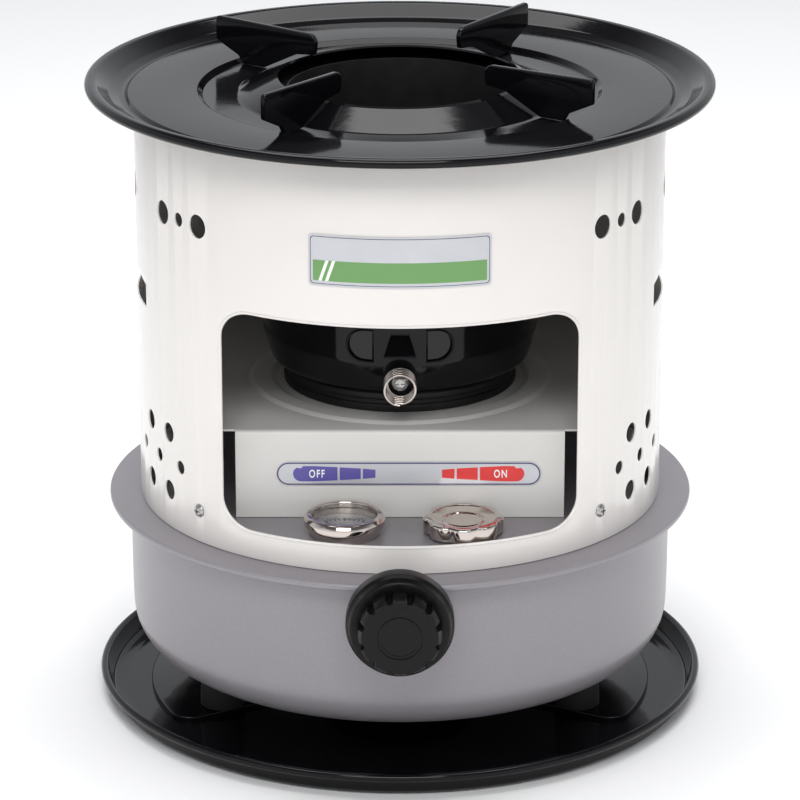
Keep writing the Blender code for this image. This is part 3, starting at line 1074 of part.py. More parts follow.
def outer_shell():
    cream = ((0.78, 0.75, 0.71), 0.22)
    shell = turned("outer_shell", ring(SHELL_INNER_RADIUS, SHELL_RADIUS, SHELL_BOTTOM, SHELL_TOP),
                   cream)
    half_width = SHELL_RADIUS * sin(WINDOW_HALF_ANGLE)
    corners = [(-half_width, WINDOW_TOP), (half_width, WINDOW_TOP), (half_width, WINDOW_BOTTOM),
               (-half_width, WINDOW_BOTTOM)]
    pull = WINDOW_CORNER_RADIUS
    loop = [(0, WINDOW_TOP, 0), *[(x, height, pull) for x, height in corners[1:]], (*corners[0], pull),
            (0, WINDOW_TOP, 0)]
    outline = rounded(loop, steps=4)[:-1]
    near = SHELL_RADIUS * cos(WINDOW_HALF_ANGLE) - OVERRUN
    window = prism("shell_window", outline, SHELL_RADIUS - near + OVERRUN,
                   frame=Matrix.Translation((0, -near, 0)) @ ABOUT_Y)
    combine(shell, [window])
    holes = {SMALL_VENT_RADIUS: [], UPPER_VENT_RADIUS: [], LOWER_VENT_RADIUS: [],
             SCREW_SHANK_RADIUS + GAP: []}

    def hole(angle, height, radius):
        inner = SHELL_INNER_RADIUS - OVERRUN
        outer = SHELL_RADIUS + OVERRUN
        holes[radius].append((polar(inner, angle, height), polar(outer, angle, height), radius))

    for side in (-1, 1):
        for middle in UPPER_VENT_ANGLES:
            hole(side * middle, UPPER_VENT_HEIGHT, SMALL_VENT_RADIUS)
            hole(side * middle - UPPER_VENT_SPREAD, UPPER_VENT_HEIGHT, UPPER_VENT_RADIUS)
            hole(side * middle + UPPER_VENT_SPREAD, UPPER_VENT_HEIGHT, UPPER_VENT_RADIUS)
        for middle in LOWER_VENT_MIDDLES:
            for step in (-2, 0, 2):
                hole(side * (middle + step * LOWER_VENT_STEP), LOWER_VENT_HEIGHT, SMALL_VENT_RADIUS)
            for step in (-1, 1):
                for rise in (-LOWER_VENT_RISE, LOWER_VENT_RISE):
                    hole(side * (middle + step * LOWER_VENT_STEP), LOWER_VENT_HEIGHT + rise,
                         LOWER_VENT_RADIUS)
    for angle in SCREW_ANGLES.values():
        hole(angle, SCREW_HEIGHT, SCREW_SHANK_RADIUS + GAP)
    for number, (radius, group) in enumerate(holes.items()):
        sides = HOLE_SIDES if radius > LOWER_VENT_RADIUS else SMALL_HOLE_SIDES
        combine(shell, [rods(f"shell_holes_{number}", group, sides)])
    for side in (-1, 1):
        middle = side * radians(90)
        start, end = middle - GRIP_HALF_ANGLE, middle + GRIP_HALF_ANGLE
        opening = ring(SHELL_INNER_RADIUS - OVERRUN, SHELL_RADIUS + OVERRUN, GRIP_BOTTOM,
                       GRIP_SHEAR_TOP)
        cut = sector(f"grip_cut_{side}", opening, start, end, 4)
        face = SHELL_RADIUS - GAP
        line = [(face - GRIP_DEPTH * depth_share, GRIP_TOP - (GRIP_TOP - GRIP_BOTTOM) * fall_share)
                for fall_share, depth_share in GRIP_UPPER_DEPTH_SHARES]
        side_gap = GAP / SHELL_RADIUS
        flap = sector(f"grip_flap_{side}", sheet(line, THIN_SHEET), start + side_gap, end - side_gap, 4)
        combine(shell, [cut])
        combine(shell, [flap], "UNION")
    foil = SHELL_RADIUS + GAP
    sector("rating_plate", ring(foil, foil + PLATE_FOIL, RATING_BOTTOM, RATING_TOP), -RATING_HALF_ANGLE,
           RATING_HALF_ANGLE, 6, ((0.6, 0.62, 0.66), 0.3))


def shell_fasteners():
    steel = ((0.5, 0.5, 0.52), 0.25, 1.0)
    face = SHELL_INNER_RADIUS * cos(pi / LARGE_STEPS) - GAP
    foot = PLATEAU_TOP + GAP
    line = rounded([(face, foot + BRACKET_HEIGHT, 0), (face, foot, 2 * SHEET),
                    (face - BRACKET_FOOT_LENGTH, foot, 0)])
    outline = [(-across, height) for across, height in sheet(line, SHEET)]
    half = BRACKET_WIDTH / 2
    for place_name, angle in SCREW_ANGLES.items():
        turn = Matrix.Rotation(angle, 4, "Z")
        bracket = prism(f"shell_bracket_{place_name}", outline, BRACKET_WIDTH, steel,
                        turn @ Matrix.Translation((-half, 0, 0)) @ SIDE_FRAME)
        inner, outer = polar(face - OVERRUN, angle, SCREW_HEIGHT), polar(face + OVERRUN, angle,
                                                                         SCREW_HEIGHT)
        combine(bracket, [rods(f"bracket_bore_{place_name}",
                               [(inner, outer, SCREW_SHANK_RADIUS + GAP)])])
        frame = turn @ Matrix.Translation((0, -SHELL_RADIUS - GAP, SCREW_HEIGHT)) @ ABOUT_Y
        screw(f"shell_screw_{place_name}", SCREW_HEAD_RADIUS, SCREW_HEAD_HEIGHT, SCREW_SHANK_RADIUS,
              SCREW_LENGTH, frame, steel)


def well_profile():
    """The top plate's upper face from the flame hole out to the channel's outer wall."""
    floor = PLATE_TOP - WELL_DEPTH
    channel = PLATE_TOP - PLATE_CHANNEL_DEPTH
    inner_wall = SHELL_RADIUS + SHEET + PLATE_CHANNEL_DEPTH
    return [(CONE_TOP_RADIUS - 2 * SHEET, CONE_TOP + SHEET / 2), (CONE_TOP_RADIUS, CONE_TOP),
            (CONE_FOOT_RADIUS, floor), (WELL_RADIUS - WELL_WALL, floor), (WELL_RADIUS, PLATE_TOP),
            (inner_wall, PLATE_TOP), (inner_wall + PLATE_CHANNEL_DEPTH, channel),
            (PLATE_CHANNEL_RADIUS, channel)]


def top_plate():
    black = ((0.006, 0.006, 0.008), 0.08)
    bead = PLATE_BEAD_RADIUS
    centre = (PLATE_RADIUS - bead, PLATE_RIM_TOP - bead)
    turns = [radians(degrees_share) for degrees_share in (100, 40, -20, -80)]
    line = well_profile() + [(PLATE_CREST_RADIUS, PLATE_RIM_TOP - PLATE_CREST_DROP)]
    line += [(centre[0] + bead * cos(turn), centre[1] + bead * sin(turn)) for turn in turns]
    turned("top_plate", sheet(line, SHEET), black)
    floor = PLATE_TOP - WELL_DEPTH - SHEET
    flange = floor - GAP
    section = [(COLLAR_RADIUS - SHEET, COLLAR_TOP), (COLLAR_RADIUS, COLLAR_TOP),
               (COLLAR_RADIUS, flange), (COLLAR_FLANGE_RADIUS, flange),
               (COLLAR_FLANGE_RADIUS, flange - SHEET), (COLLAR_RADIUS, flange - SHEET),
               (COLLAR_RADIUS, COLLAR_BOTTOM), (COLLAR_RADIUS - SHEET, COLLAR_BOTTOM)]
    turned("flame_collar", section, ((0.03, 0.03, 0.03), 0.6), BURNER_STEPS)


def pan_supports():
    black = ((0.008, 0.008, 0.009), 0.2)
    floor = PLATE_TOP - WELL_DEPTH + GAP
    slope = (CONE_TOP - floor) / (CONE_FOOT_RADIUS - CONE_TOP_RADIUS)
    foot_inner = CONE_FOOT_RADIUS + 2 * SHEET
    tip_low = SUPPORT_TIP_UNDERSIDE
    rest = CONE_TOP_RADIUS + slope * SHEET
    foot_outer = WELL_RADIUS - WELL_WALL - SHEET
    corner = [(foot_inner, floor, 0), (rest, CONE_TOP + 2 * SHEET, SUPPORT_TIP_ROUNDING / 2),
              (SUPPORT_INNER_RADIUS + SHEET, tip_low, SHEET),
              (SUPPORT_INNER_RADIUS, SUPPORT_TOP - SUPPORT_TOP_FALL, SUPPORT_TIP_ROUNDING),
              (SUPPORT_OUTER_RADIUS, SUPPORT_TOP, SUPPORT_CORNER_ROUNDING),
              (SUPPORT_OUTER_RADIUS, PLATE_TOP + SUPPORT_HEEL_HEIGHT, SUPPORT_CORNER_ROUNDING),
              (WELL_RADIUS - SHEET, PLATE_TOP + 2 * SHEET, 0), (foot_outer, floor, 0)]
    outline = [(-across, height) for across, height in rounded(corner)]
    half = SUPPORT_THICKNESS / 2
    for place_name, angle in SUPPORT_ANGLES.items():
        frame = Matrix.Rotation(angle, 4, "Z") @ Matrix.Translation((-half, 0, 0)) @ SIDE_FRAME
        prism(f"pan_support_{place_name}", outline, SUPPORT_THICKNESS, black, frame)


drip_tray()
feet()
tank()
filler()
gauge()
float_gear()
wick_parts()
shaft_parts()
wick_knob()
burner()
handle()
deck()
outer_shell()
shell_fasteners()
top_plate()
pan_supports()
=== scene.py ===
"""Looks of the kerosene wick stove: enamels, paint, chrome, print and the studio it stands in."""
from math import ceil, cos, pi, radians, sin, tan

import bmesh
import bpy
from mathutils import Matrix, Vector


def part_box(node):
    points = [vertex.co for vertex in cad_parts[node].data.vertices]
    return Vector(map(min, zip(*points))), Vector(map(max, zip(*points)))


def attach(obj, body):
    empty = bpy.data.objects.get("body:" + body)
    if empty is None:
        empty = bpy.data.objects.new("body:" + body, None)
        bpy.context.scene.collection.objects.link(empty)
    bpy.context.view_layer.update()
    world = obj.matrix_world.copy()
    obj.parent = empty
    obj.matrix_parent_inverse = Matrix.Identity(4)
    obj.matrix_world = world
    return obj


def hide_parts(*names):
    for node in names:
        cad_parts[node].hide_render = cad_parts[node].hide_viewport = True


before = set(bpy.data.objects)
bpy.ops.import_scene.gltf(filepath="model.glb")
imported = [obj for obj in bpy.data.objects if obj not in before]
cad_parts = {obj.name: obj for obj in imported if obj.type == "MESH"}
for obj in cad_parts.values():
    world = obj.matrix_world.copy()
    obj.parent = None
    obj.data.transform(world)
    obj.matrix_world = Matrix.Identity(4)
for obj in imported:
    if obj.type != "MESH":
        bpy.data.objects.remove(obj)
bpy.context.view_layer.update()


def corners_of(node):
    """The low and the high corner of a CAD node."""
    return (Vector(corner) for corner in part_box(node))


# Places read from the frame
TRAY_LOW, TRAY_HIGH = corners_of("drip_tray")
BOWL_LOW, BOWL_HIGH = corners_of("tank_lower")
LID_LOW, LID_HIGH = corners_of("tank_upper")
SHELL_LOW, SHELL_HIGH = corners_of("outer_shell")
DECK_LOW, DECK_HIGH = corners_of("deck")
_, PLATE_HIGH = corners_of("top_plate")
DRUM_LOW, DRUM_HIGH = corners_of("burner_drum")
RING_LOW, RING_HIGH = corners_of("burner_base_ring")
COLLAR_LOW, COLLAR_HIGH = corners_of("flame_collar")
KNOB_LOW, KNOB_HIGH = corners_of("wick_knob")
CAP_LOW, CAP_HIGH = corners_of("filler_cap")
BEZEL_LOW, BEZEL_HIGH = corners_of("gauge_bezel")
DIAL_LOW, DIAL_HIGH = corners_of("gauge_dial")
RATING_LOW, RATING_HIGH = corners_of("rating_plate")
CONTROL_LOW, CONTROL_HIGH = corners_of("control_plate")

# Sizes that several pieces share, in metres
GAP = 0.0003
SHEET = 0.001
THIN = 0.0008
OVERRUN = 0.004
FINE = 192
ROUND = 96
SMALL = 48
SMOOTH_ANGLE = radians(35)
WELD = 1e-6

# The photograph's camera
PHOTO_SIZE = 800
FOCAL_PIXELS = 4173
SENSOR = 36
CAMERA_DISTANCE = 2.118
CAMERA_HEIGHT = 0.892
CAMERA_PITCH = radians(19.06)


def linear(code):
    """An sRGB hex colour as linear red, green, blue and 1."""
    parts = [int(code[index:index + 2], 16) / 255 for index in (0, 2, 4)]
    return (*[p / 12.92 if p <= 0.04045 else ((p + 0.055) / 1.055) ** 2.4 for p in parts], 1.0)


def add(material, kind, settings=(), **links):
    """Adds a node, sets its settings and links its inputs by name from (node, output) pairs."""
    node = material.node_tree.nodes.new(kind)
    for key, value in dict(settings).items():
        if key in node.inputs:
            node.inputs[key].default_value = value
        else:
            setattr(node, key, value)
    for key, (source, output) in links.items():
        material.node_tree.links.new(source.outputs[output], node.inputs[key])
    return node


def finish_of(name, colour, settings=()):
    """A new material with its shader, and Object coordinates to build patterns on."""
    material = bpy.data.materials.new(name)
    material.use_nodes = True
    shader = material.node_tree.nodes["Principled BSDF"]
    shader.inputs["Base Color"].default_value = linear(colour)
    for key, value in dict(settings).items():
        shader.inputs[key].default_value = value
    place = add(material, "ShaderNodeTexCoord")
    return material, shader, place


def roughen(material, shader, place, scale_mm, low, high):
    """Lets the gloss vary in soft patches of about the given size."""
    cloud = add(material, "ShaderNodeTexNoise", {"Scale": 1000 / scale_mm, "Detail": 4.0},
                Vector=(place, "Object"))
    spread = add(material, "ShaderNodeMapRange", {"To Min": low, "To Max": high}, Value=(cloud, "Fac"))
    material.node_tree.links.new(spread.outputs["Result"], shader.inputs["Roughness"])
    return cloud


def tint(material, shader, cloud, first, second):
    """Blends two colours by a pattern into the base colour."""
    blend = add(material, "ShaderNodeMix", {"data_type": "RGBA"}, Factor=(cloud, "Fac"))
    blend.inputs[6].default_value = linear(first)
    blend.inputs[7].default_value = linear(second)
    material.node_tree.links.new(blend.outputs[2], shader.inputs["Base Color"])


def relief(material, shader, place, scale_mm, height_mm, detail=2.0):
    """Raises the surface in grains of about the given size."""
    grain = add(material, "ShaderNodeTexNoise", {"Scale": 1000 / scale_mm, "Detail": detail},
                Vector=(place, "Object"))
    bump = add(material, "ShaderNodeBump", {"Distance": height_mm / 1000, "Strength": 1.0},
               Height=(grain, "Fac"))
    material.node_tree.links.new(bump.outputs["Normal"], shader.inputs["Normal"])


def finish(name, colour, settings=(), gloss=None, colours=None, grain=None):
    """A material with soft gloss patches in mm, two colours blended by them and a grain in mm."""
    material, shader, place = finish_of(name, colour, settings)
    cloud = roughen(material, shader, place, *gloss) if gloss else None
    if colours:
        tint(material, shader, cloud, *colours)
    if grain:
        relief(material, shader, place, *grain)
    return material


# Vitreous enamel fired on steel: a wet black gloss with a faint orange peel.
BLACK = finish("black_vitreous_enamel", "0A0A0C", {"IOR": 1.32}, (22, 0.06, 0.13),
               ("070709", "0E0E11"), (7, 0.035))

# Pale enamel fired on a rolled shell: smooth gloss, nearly white with a warm cast.
CREAM = finish("cream_vitreous_enamel", "E9E5E0",
               {"IOR": 1.5, "Coat Weight": 0.35, "Coat Roughness": 0.08}, (40, 0.20, 0.28),
               ("E6E2DD", "ECE8E4"), (9, 0.02))

# Stoved satin paint on the plate over the tank, a little greyer than the shell.
DECK_PAINT = finish("satin_deck_paint", "DAD8D4", {"IOR": 1.48}, (25, 0.34, 0.44),
                    ("D6D4D0", "DEDCD8"), (3, 0.01))

# Grey stoving enamel with a fine metallic grain, half gloss.
TANK_PAINT = finish("grey_tank_paint", "94919A",
                    {"IOR": 1.5, "Metallic": 0.25, "Coat Weight": 0.25, "Coat Roughness": 0.15},
                    (1.2, 0.36, 0.46), ("888488", "979398"), (1.6, 0.012))

# Bright chrome over nickel: a mirror with a warm cast and slight waviness of the pressing.
CHROME = finish("bright_chrome_plate", "C9BFB9", {"Metallic": 1.0}, (15, 0.05, 0.10),
                grain=(6, 0.012))

# Zinc-plated steel: soft grey metal with fine drawn lines.
STEEL = finish("zinc_plated_steel", "B9B8B6", {"Metallic": 1.0}, (5, 0.22, 0.34),
               ("B0AFAD", "C2C1BF"), (1, 0.004))

# Bare steel near the flame: blued and browned in patches.
HEATED = finish("heat_tinted_steel", "6F6A66", {"Metallic": 0.9}, (12, 0.35, 0.5),
                ("5E5960", "857868"), (2, 0.008))

# Iron under matte heat-proof paint, nearly black with a sandy skin.
IRON = finish("heat_dark_iron", "1B1A1A", {"Specular IOR Level": 0.4, "Metallic": 0.2},
              (8, 0.42, 0.6), ("171616", "242221"), (1.2, 0.03, 4.0))

# Turned brass fittings inside the tank's wall.
BRASS = finish("turned_brass", "B8934A", {"Metallic": 1.0}, (6, 0.22, 0.36), ("AD8841", "C49E55"))

# Compression-moulded black phenolic: satin skin with a very fine grain.
PHENOLIC = finish("black_phenolic", "0E0E0F", {"IOR": 1.28}, (10, 0.26, 0.36),
                  ("0B0B0C", "121213"), (0.8, 0.004))

# Moulded black rubber: matte, faintly mottled.
RUBBER = finish("moulded_black_rubber", "151516", {"IOR": 1.52}, (6, 0.55, 0.7),
                ("111112", "1B1B1C"))

# Thin clear lens over the gauge, with a sharp surface gloss.
LENS = finish("clear_gauge_lens", "F4F6F6",
              {"IOR": 1.2, "Transmission Weight": 1.0, "Roughness": 0.0, "Alpha": 0.25})

# Smoky split mica, with flat flakes that catch the light.
MICA = finish("amber_mica", "151312", {"IOR": 1.42}, (14, 0.08, 0.25), ("0D0B0A", "1E1916"))

# Stamped aluminium dial, satin silver with a slight lathe haze.
DIAL_METAL = finish("satin_dial_metal", "BDBBB6", {"Metallic": 0.6}, (4, 0.3, 0.42),
                    ("B3B1AC", "C8C6C1"))

# Anodised aluminium foil label: pale silver, satin.
FOIL = finish("silver_label_foil", "C6C7CB",
              {"Metallic": 0.35, "Coat Weight": 0.4, "Coat Roughness": 0.1}, (18, 0.26, 0.36),
              ("BFC0C5", "CDCED2"))

# Woven glass-fibre sleeve, off-white.
WICK_FIBRE = finish("glass_fibre_weave", "DCD7C6", {"Roughness": 0.95}, grain=(1.5, 0.25, 3.0))

# Red dipped paint on the pointer's wire.
RED_PAINT = finish("red_dipped_paint", "C42420", {"IOR": 1.5}, (4, 0.3, 0.45))


def varnished_cork():
    """Cork float under varnish: tan with darker grains of 2 mm."""
    material, shader, place = finish_of("varnished_cork", "B08D5E", {"Roughness": 0.6})
    cloud = add(material, "ShaderNodeTexNoise", {"Scale": 500.0, "Detail": 5.0},
                Vector=(place, "Object"))
    tint(material, shader, cloud, "8E6B42", "C6A578")
    return material


def ink(name, colour):
    """Screen-printed ink under clear lacquer, dense and slightly glossy."""
    return finish(name, colour, {"IOR": 1.5, "Coat Weight": 0.3, "Coat Roughness": 0.12},
                  (6, 0.30, 0.40))


ABOUT_Y = Matrix.Rotation(pi / 2, 4, "X")
SIDE_FRAME = Matrix(((0, 0, 1, 0), (1, 0, 0, 0), (0, 1, 0, 0), (0, 0, 0, 1)))


def sheet(line, thickness):
    """Closes a line of (across, up) points to a section with the metal on its right side."""
    inner = []
    for index, point in enumerate(line):
        here = Vector(point)
        before = (here - Vector(line[index - 1])).normalized() if index else None
        after = (Vector(line[index + 1]) - here).normalized() if index < len(line) - 1 else None
        first, second = before or after, after or before
        normal = Vector((first.y, -first.x)) + Vector((second.y, -second.x))
        inner.append(here + normal * (thickness * 2 / normal.length_squared))
    return [tuple(point) for point in line] + [tuple(point) for point in reversed(inner)]


def rounded(corners, steps=7):
    """A line of (across, up, radius) corners with each corner as an arc of its radius."""
    line = []
    for index, (across, up, radius) in enumerate(corners):
        here = Vector((across, up))
        if not radius or index in (0, len(corners) - 1):
            line.append((across, up))
            continue
        back = (Vector(corners[index - 1][:2]) - here).normalized()
        ahead = (Vector(corners[index + 1][:2]) - here).normalized()
        half = back.angle(ahead) / 2
        middle = here + (back + ahead).normalized() * (radius / sin(half))
        start = here + back * (radius / tan(half)) - middle
        turn = (pi - 2 * half) * (1 if back.cross(ahead) < 0 else -1)
        line += [tuple(middle + Matrix.Rotation(turn * step / (steps - 1), 2) @ start)
                 for step in range(steps)]
    return line


def loop_of(corners, steps=7):
    """A closed outline of (across, up, radius) corners, each rounded."""
    first, last = Vector(corners[0][:2]), Vector(corners[-1][:2])
    middle = (*((first + last) / 2), 0)
    return rounded([middle, *corners, middle], steps)[:-1]


def arc(centre, radius, start, end, steps):
    """Points on an arc between two angles in degrees."""
    turns = [radians(start + (end - start) * step / steps) for step in range(steps + 1)]
    return [(centre[0] + radius * cos(turn), centre[1] + radius * sin(turn)) for turn in turns]


def polar(radius, angle, height):
    """A point at a radius from the axis, at an angle counted from the front."""
    return (radius * sin(angle), -radius * cos(angle), height)


def at(x, y, z):
    """A move to a point."""
    return Matrix.Translation((x, y, z))


def placed(name, data):
    """A new object in the scene."""
    thing = bpy.data.objects.new(name, data)
    bpy.context.scene.collection.objects.link(thing)
    return thing


def make(name, shape, look, body=None, stands_for=()):
    """Closes a bmesh into a piece that rides on a body and may stand for CAD nodes."""
    bmesh.ops.remove_doubles(shape, verts=shape.verts, dist=WELD)
    bmesh.ops.recalc_face_normals(shape, faces=shape.faces)
    mesh = bpy.data.meshes.new(name)
    shape.to_mesh(mesh)
    shape.free()
    mesh.shade_smooth()
    mesh.set_sharp_from_angle(angle=SMOOTH_ANGLE)
    piece = placed(name, mesh)
    if look:
        mesh.materials.append(look)
    if body:
        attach(piece, body)
    if stands_for:
        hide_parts(*stands_for)
    return piece


def spun(section, steps=FINE, place=Matrix()):
    """A bmesh of a closed (radius, height) section turned all round the axis."""
    shape = bmesh.new()
    verts = [shape.verts.new((radius, 0, height)) for radius, height in section]
    pairs = list(zip(verts, verts[1:]))
    if section[0][0] > 0:
        pairs.append((verts[-1], verts[0]))
    edges = [shape.edges.new(pair) for pair in pairs]
    bmesh.ops.spin(shape, geom=verts + edges, angle=2 * pi, steps=steps, axis=(0, 0, 1), cent=(0, 0, 0),
                   use_merge=True)
    shape.transform(place)
    return shape


def pushed(outline, depth, place=Matrix(), bevel=0, segments=3):
    """A bmesh of a flat outline in the place's XY plane, pushed along its Z."""
    shape = bmesh.new()
    face = shape.faces.new([shape.verts.new((x, y, 0)) for x, y in outline])
    grown = bmesh.ops.extrude_face_region(shape, geom=[face])["geom"]
    top = [item for item in grown if isinstance(item, bmesh.types.BMVert)]
    bmesh.ops.translate(shape, verts=top, vec=(0, 0, depth))
    if bevel:
        rims = [edge for edge in shape.edges
                if abs(edge.verts[0].co.z - edge.verts[1].co.z) < depth / 100]
        bmesh.ops.bevel(shape, geom=rims, offset=bevel, segments=segments, profile=0.5, affect="EDGES",
                        material=-1)
    shape.transform(place)
    return shape


def swept(section, start, end, steps):
    """A bmesh of a (radius, height) section swept round the axis between two front angles."""
    shape = bmesh.new()
    face = shape.faces.new([shape.verts.new((radius, 0, height)) for radius, height in section])
    shape.transform(Matrix.Rotation(start - pi / 2, 4, "Z"))
    bmesh.ops.spin(shape, geom=[face, *face.edges, *face.verts], angle=end - start, steps=steps,
                   axis=(0, 0, 1), cent=(0, 0, 0))
    return shape


def rods(ends, sides=40):
    """A bmesh of round bars from (start, end, radius) triples."""
    shape = bmesh.new()
    for start, end, radius in ends:
        along = Vector(end) - Vector(start)
        turn = along.to_track_quat("Z", "Y").to_matrix().to_4x4()
        middle = Matrix.Translation((Vector(start) + Vector(end)) / 2)
        bmesh.ops.create_cone(shape, cap_ends=True, segments=sides, radius1=radius, radius2=radius,
                              depth=along.length, matrix=middle @ turn)
    return shape


def oblong_section(inner, outer, top, low):
    """The four corners of a section with square corners."""
    return [(inner, top), (outer, top), (outer, low), (inner, low)]


def block(low, high):
    """A bmesh of a box between two corners."""
    shape = bmesh.new()
    middle, size = (Vector(high) + Vector(low)) / 2, Vector(high) - Vector(low)
    place = Matrix.Translation(middle) @ Matrix.Diagonal((*size, 1))
    bmesh.ops.create_cube(shape, size=1, matrix=place)
    return shape


def finished_mesh(thing):
    """The mesh of an object with its modifiers or its curve worked out."""
    bpy.context.view_layer.update()
    return bpy.data.meshes.new_from_object(thing.evaluated_get(bpy.context.evaluated_depsgraph_get()))


def carve(piece, shapes, operation="DIFFERENCE"):
    """Cuts shapes out of a piece, or joins them to it, and keeps the result as its mesh."""
    tools = []
    for number, shape in enumerate(shapes):
        tool = make(f"tool_{number}", shape, None)
        step = piece.modifiers.new("step", "BOOLEAN")
        step.operation = operation
        step.solver = "EXACT"
        step.object = tool
        tools.append(tool)
    done = finished_mesh(piece)
    piece.modifiers.clear()
    piece.data = done
    done.shade_smooth()
    done.set_sharp_from_angle(angle=SMOOTH_ANGLE)
    for tool in tools:
        bpy.data.objects.remove(tool, do_unlink=True)
    return piece


def tube(points, radius, sides=12, closed=False):
    """A bmesh of a round wire along the points, as a curve turned into a mesh."""
    curve = bpy.data.curves.new("wire", "CURVE")
    curve.dimensions = "3D"
    curve.bevel_depth = radius
    curve.bevel_resolution = max(1, sides // 4)
    curve.use_fill_caps = not closed
    spline = curve.splines.new("POLY")
    spline.points.add(len(points) - 1)
    for slot, point in zip(spline.points, points):
        slot.co = (*point, 1)
    spline.use_cyclic_u = closed
    guide = placed("wire", curve)
    mesh = finished_mesh(guide)
    bpy.data.objects.remove(guide, do_unlink=True)
    shape = bmesh.new()
    shape.from_mesh(mesh)
    return shape


CORNER_STEPS = 6
SECTOR_STEPS = 24


def sector_outline(inner, outer, middle, half, rounding, inset=0):
    """Outline of a ring sector with rounded corners, in plan."""
    low, high, corner = inner + inset, outer - inset, rounding - inset
    points = []
    for radius, out_sign in ((high, 1), (low, -1)):
        centre_radius = radius - corner * out_sign
        span = half - (corner + inset) / centre_radius
        for side in (-out_sign, out_sign):
            centre = Vector(polar(centre_radius, middle + side * span, 0)[:2])
            across = Vector(polar(1, middle + side * (span + pi / 2), 0)[:2])
            out = Vector(polar(out_sign, middle + side * span, 0)[:2])
            turns = [pi / 2 * step / CORNER_STEPS for step in range(CORNER_STEPS + 1)]
            if side == out_sign:
                turns.reverse()
            points += [tuple(centre + corner * (across * cos(turn) + out * sin(turn)))
                       for turn in turns]
            if side == -out_sign:
                points += [polar(radius, middle + side * span * (1 - 2 * step / SECTOR_STEPS), 0)[:2]
                           for step in range(1, SECTOR_STEPS)]
    return points


def middle_of(node):
    """The middle of a CAD node in plan."""
    low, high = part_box(node)
    return ((low[0] + high[0]) / 2, (low[1] + high[1]) / 2)


# Drip tray
TRAY_BEAD = 0.0021
TRAY_LEAN = 0.0025
TRAY_CREASE = 0.150
TRAY_CREASE_ROUNDING = 0.02
TRAY_RISE = 0.0005
TRAY_CORNER = 0.003
SEAT_INNER = 0.070
SEAT_OUTER = 0.136
SEAT_HALF = radians(28)
SEAT_HEIGHT = 0.0025
SEAT_CORNER = 0.010
SEAT_EDGE = 0.0009
SEAT_MIDDLES = (radians(-87.5), radians(87.5), pi)
ROLL_STEPS = 16


def seat_plans(inset):
    """Outlines of the three seats, drawn in by an inset."""
    return [sector_outline(SEAT_INNER, SEAT_OUTER, middle, SEAT_HALF, SEAT_CORNER, inset)
            for middle in SEAT_MIDDLES]


def drip_tray():
    radius, top = TRAY_HIGH.x, TRAY_HIGH.z
    wall_top = radius - 2 * TRAY_BEAD
    line = rounded([(0, SHEET, 0), (TRAY_CREASE, SHEET, TRAY_CREASE_ROUNDING),
                    (wall_top - TRAY_LEAN, SHEET + TRAY_RISE, TRAY_CORNER),
                    (wall_top, top - TRAY_BEAD, 0)])[:-1]
    line += arc((radius - TRAY_BEAD, top - TRAY_BEAD), TRAY_BEAD, 180, -110, ROLL_STEPS)
    tray = make("drip_tray_skin", spun(sheet(line, SHEET)), BLACK, "tray", ["drip_tray"])
    lift = at(0, 0, SHEET / 2)
    carve(tray, [pushed(plan, SEAT_HEIGHT + SHEET / 2, lift, SEAT_EDGE) for plan in seat_plans(0)],
          "UNION")
    under = at(0, 0, -OVERRUN)
    carve(tray, [pushed(plan, SEAT_HEIGHT + OVERRUN, under) for plan in seat_plans(SHEET)])


# Feet
FOOT_TAPER_SHARE = 0.94
FOOT_SHOULDER = 0.004
FOOT_ROUNDING = 0.003
FOOT_EDGE = 0.0008


def feet():
    for name in ("foot_left", "foot_right", "foot_rear"):
        low, high = corners_of(name)
        radius = (high.x - low.x) / 2
        section = rounded([(0, high.z, 0), (radius * FOOT_TAPER_SHARE, high.z, FOOT_EDGE),
                           (radius, low.z + FOOT_SHOULDER, FOOT_ROUNDING), (radius, low.z, FOOT_EDGE),
                           (0, low.z, 0)])
        make(f"{name}_skin", spun(section, SMALL, at(*middle_of(name), 0)), RUBBER,
             "stove", [name])


# Fuel tank
TANK_RADIUS = 0.145
TANK_BORE = 0.0403
TANK_WALL_HEIGHT = 0.046
TANK_NARROWING = 0.001
TANK_SIDE_ROUNDING = 0.03
TANK_CORNER = 0.026
SHAFT_HEIGHT = 0.0975
SHAFT_HOLE = 0.0068
LID_BORE = 0.0463
LID_WALL = 0.1382
LID_CORNER = 0.0025
SEAM_TOP = 0.1143
SEAM_FILLET = 0.0006
SEAM_ROUNDING = 0.0014
SEAM_LIP = 0.0043
FILLER_HOLE = 0.0148
GAUGE_HOLE = 0.0147


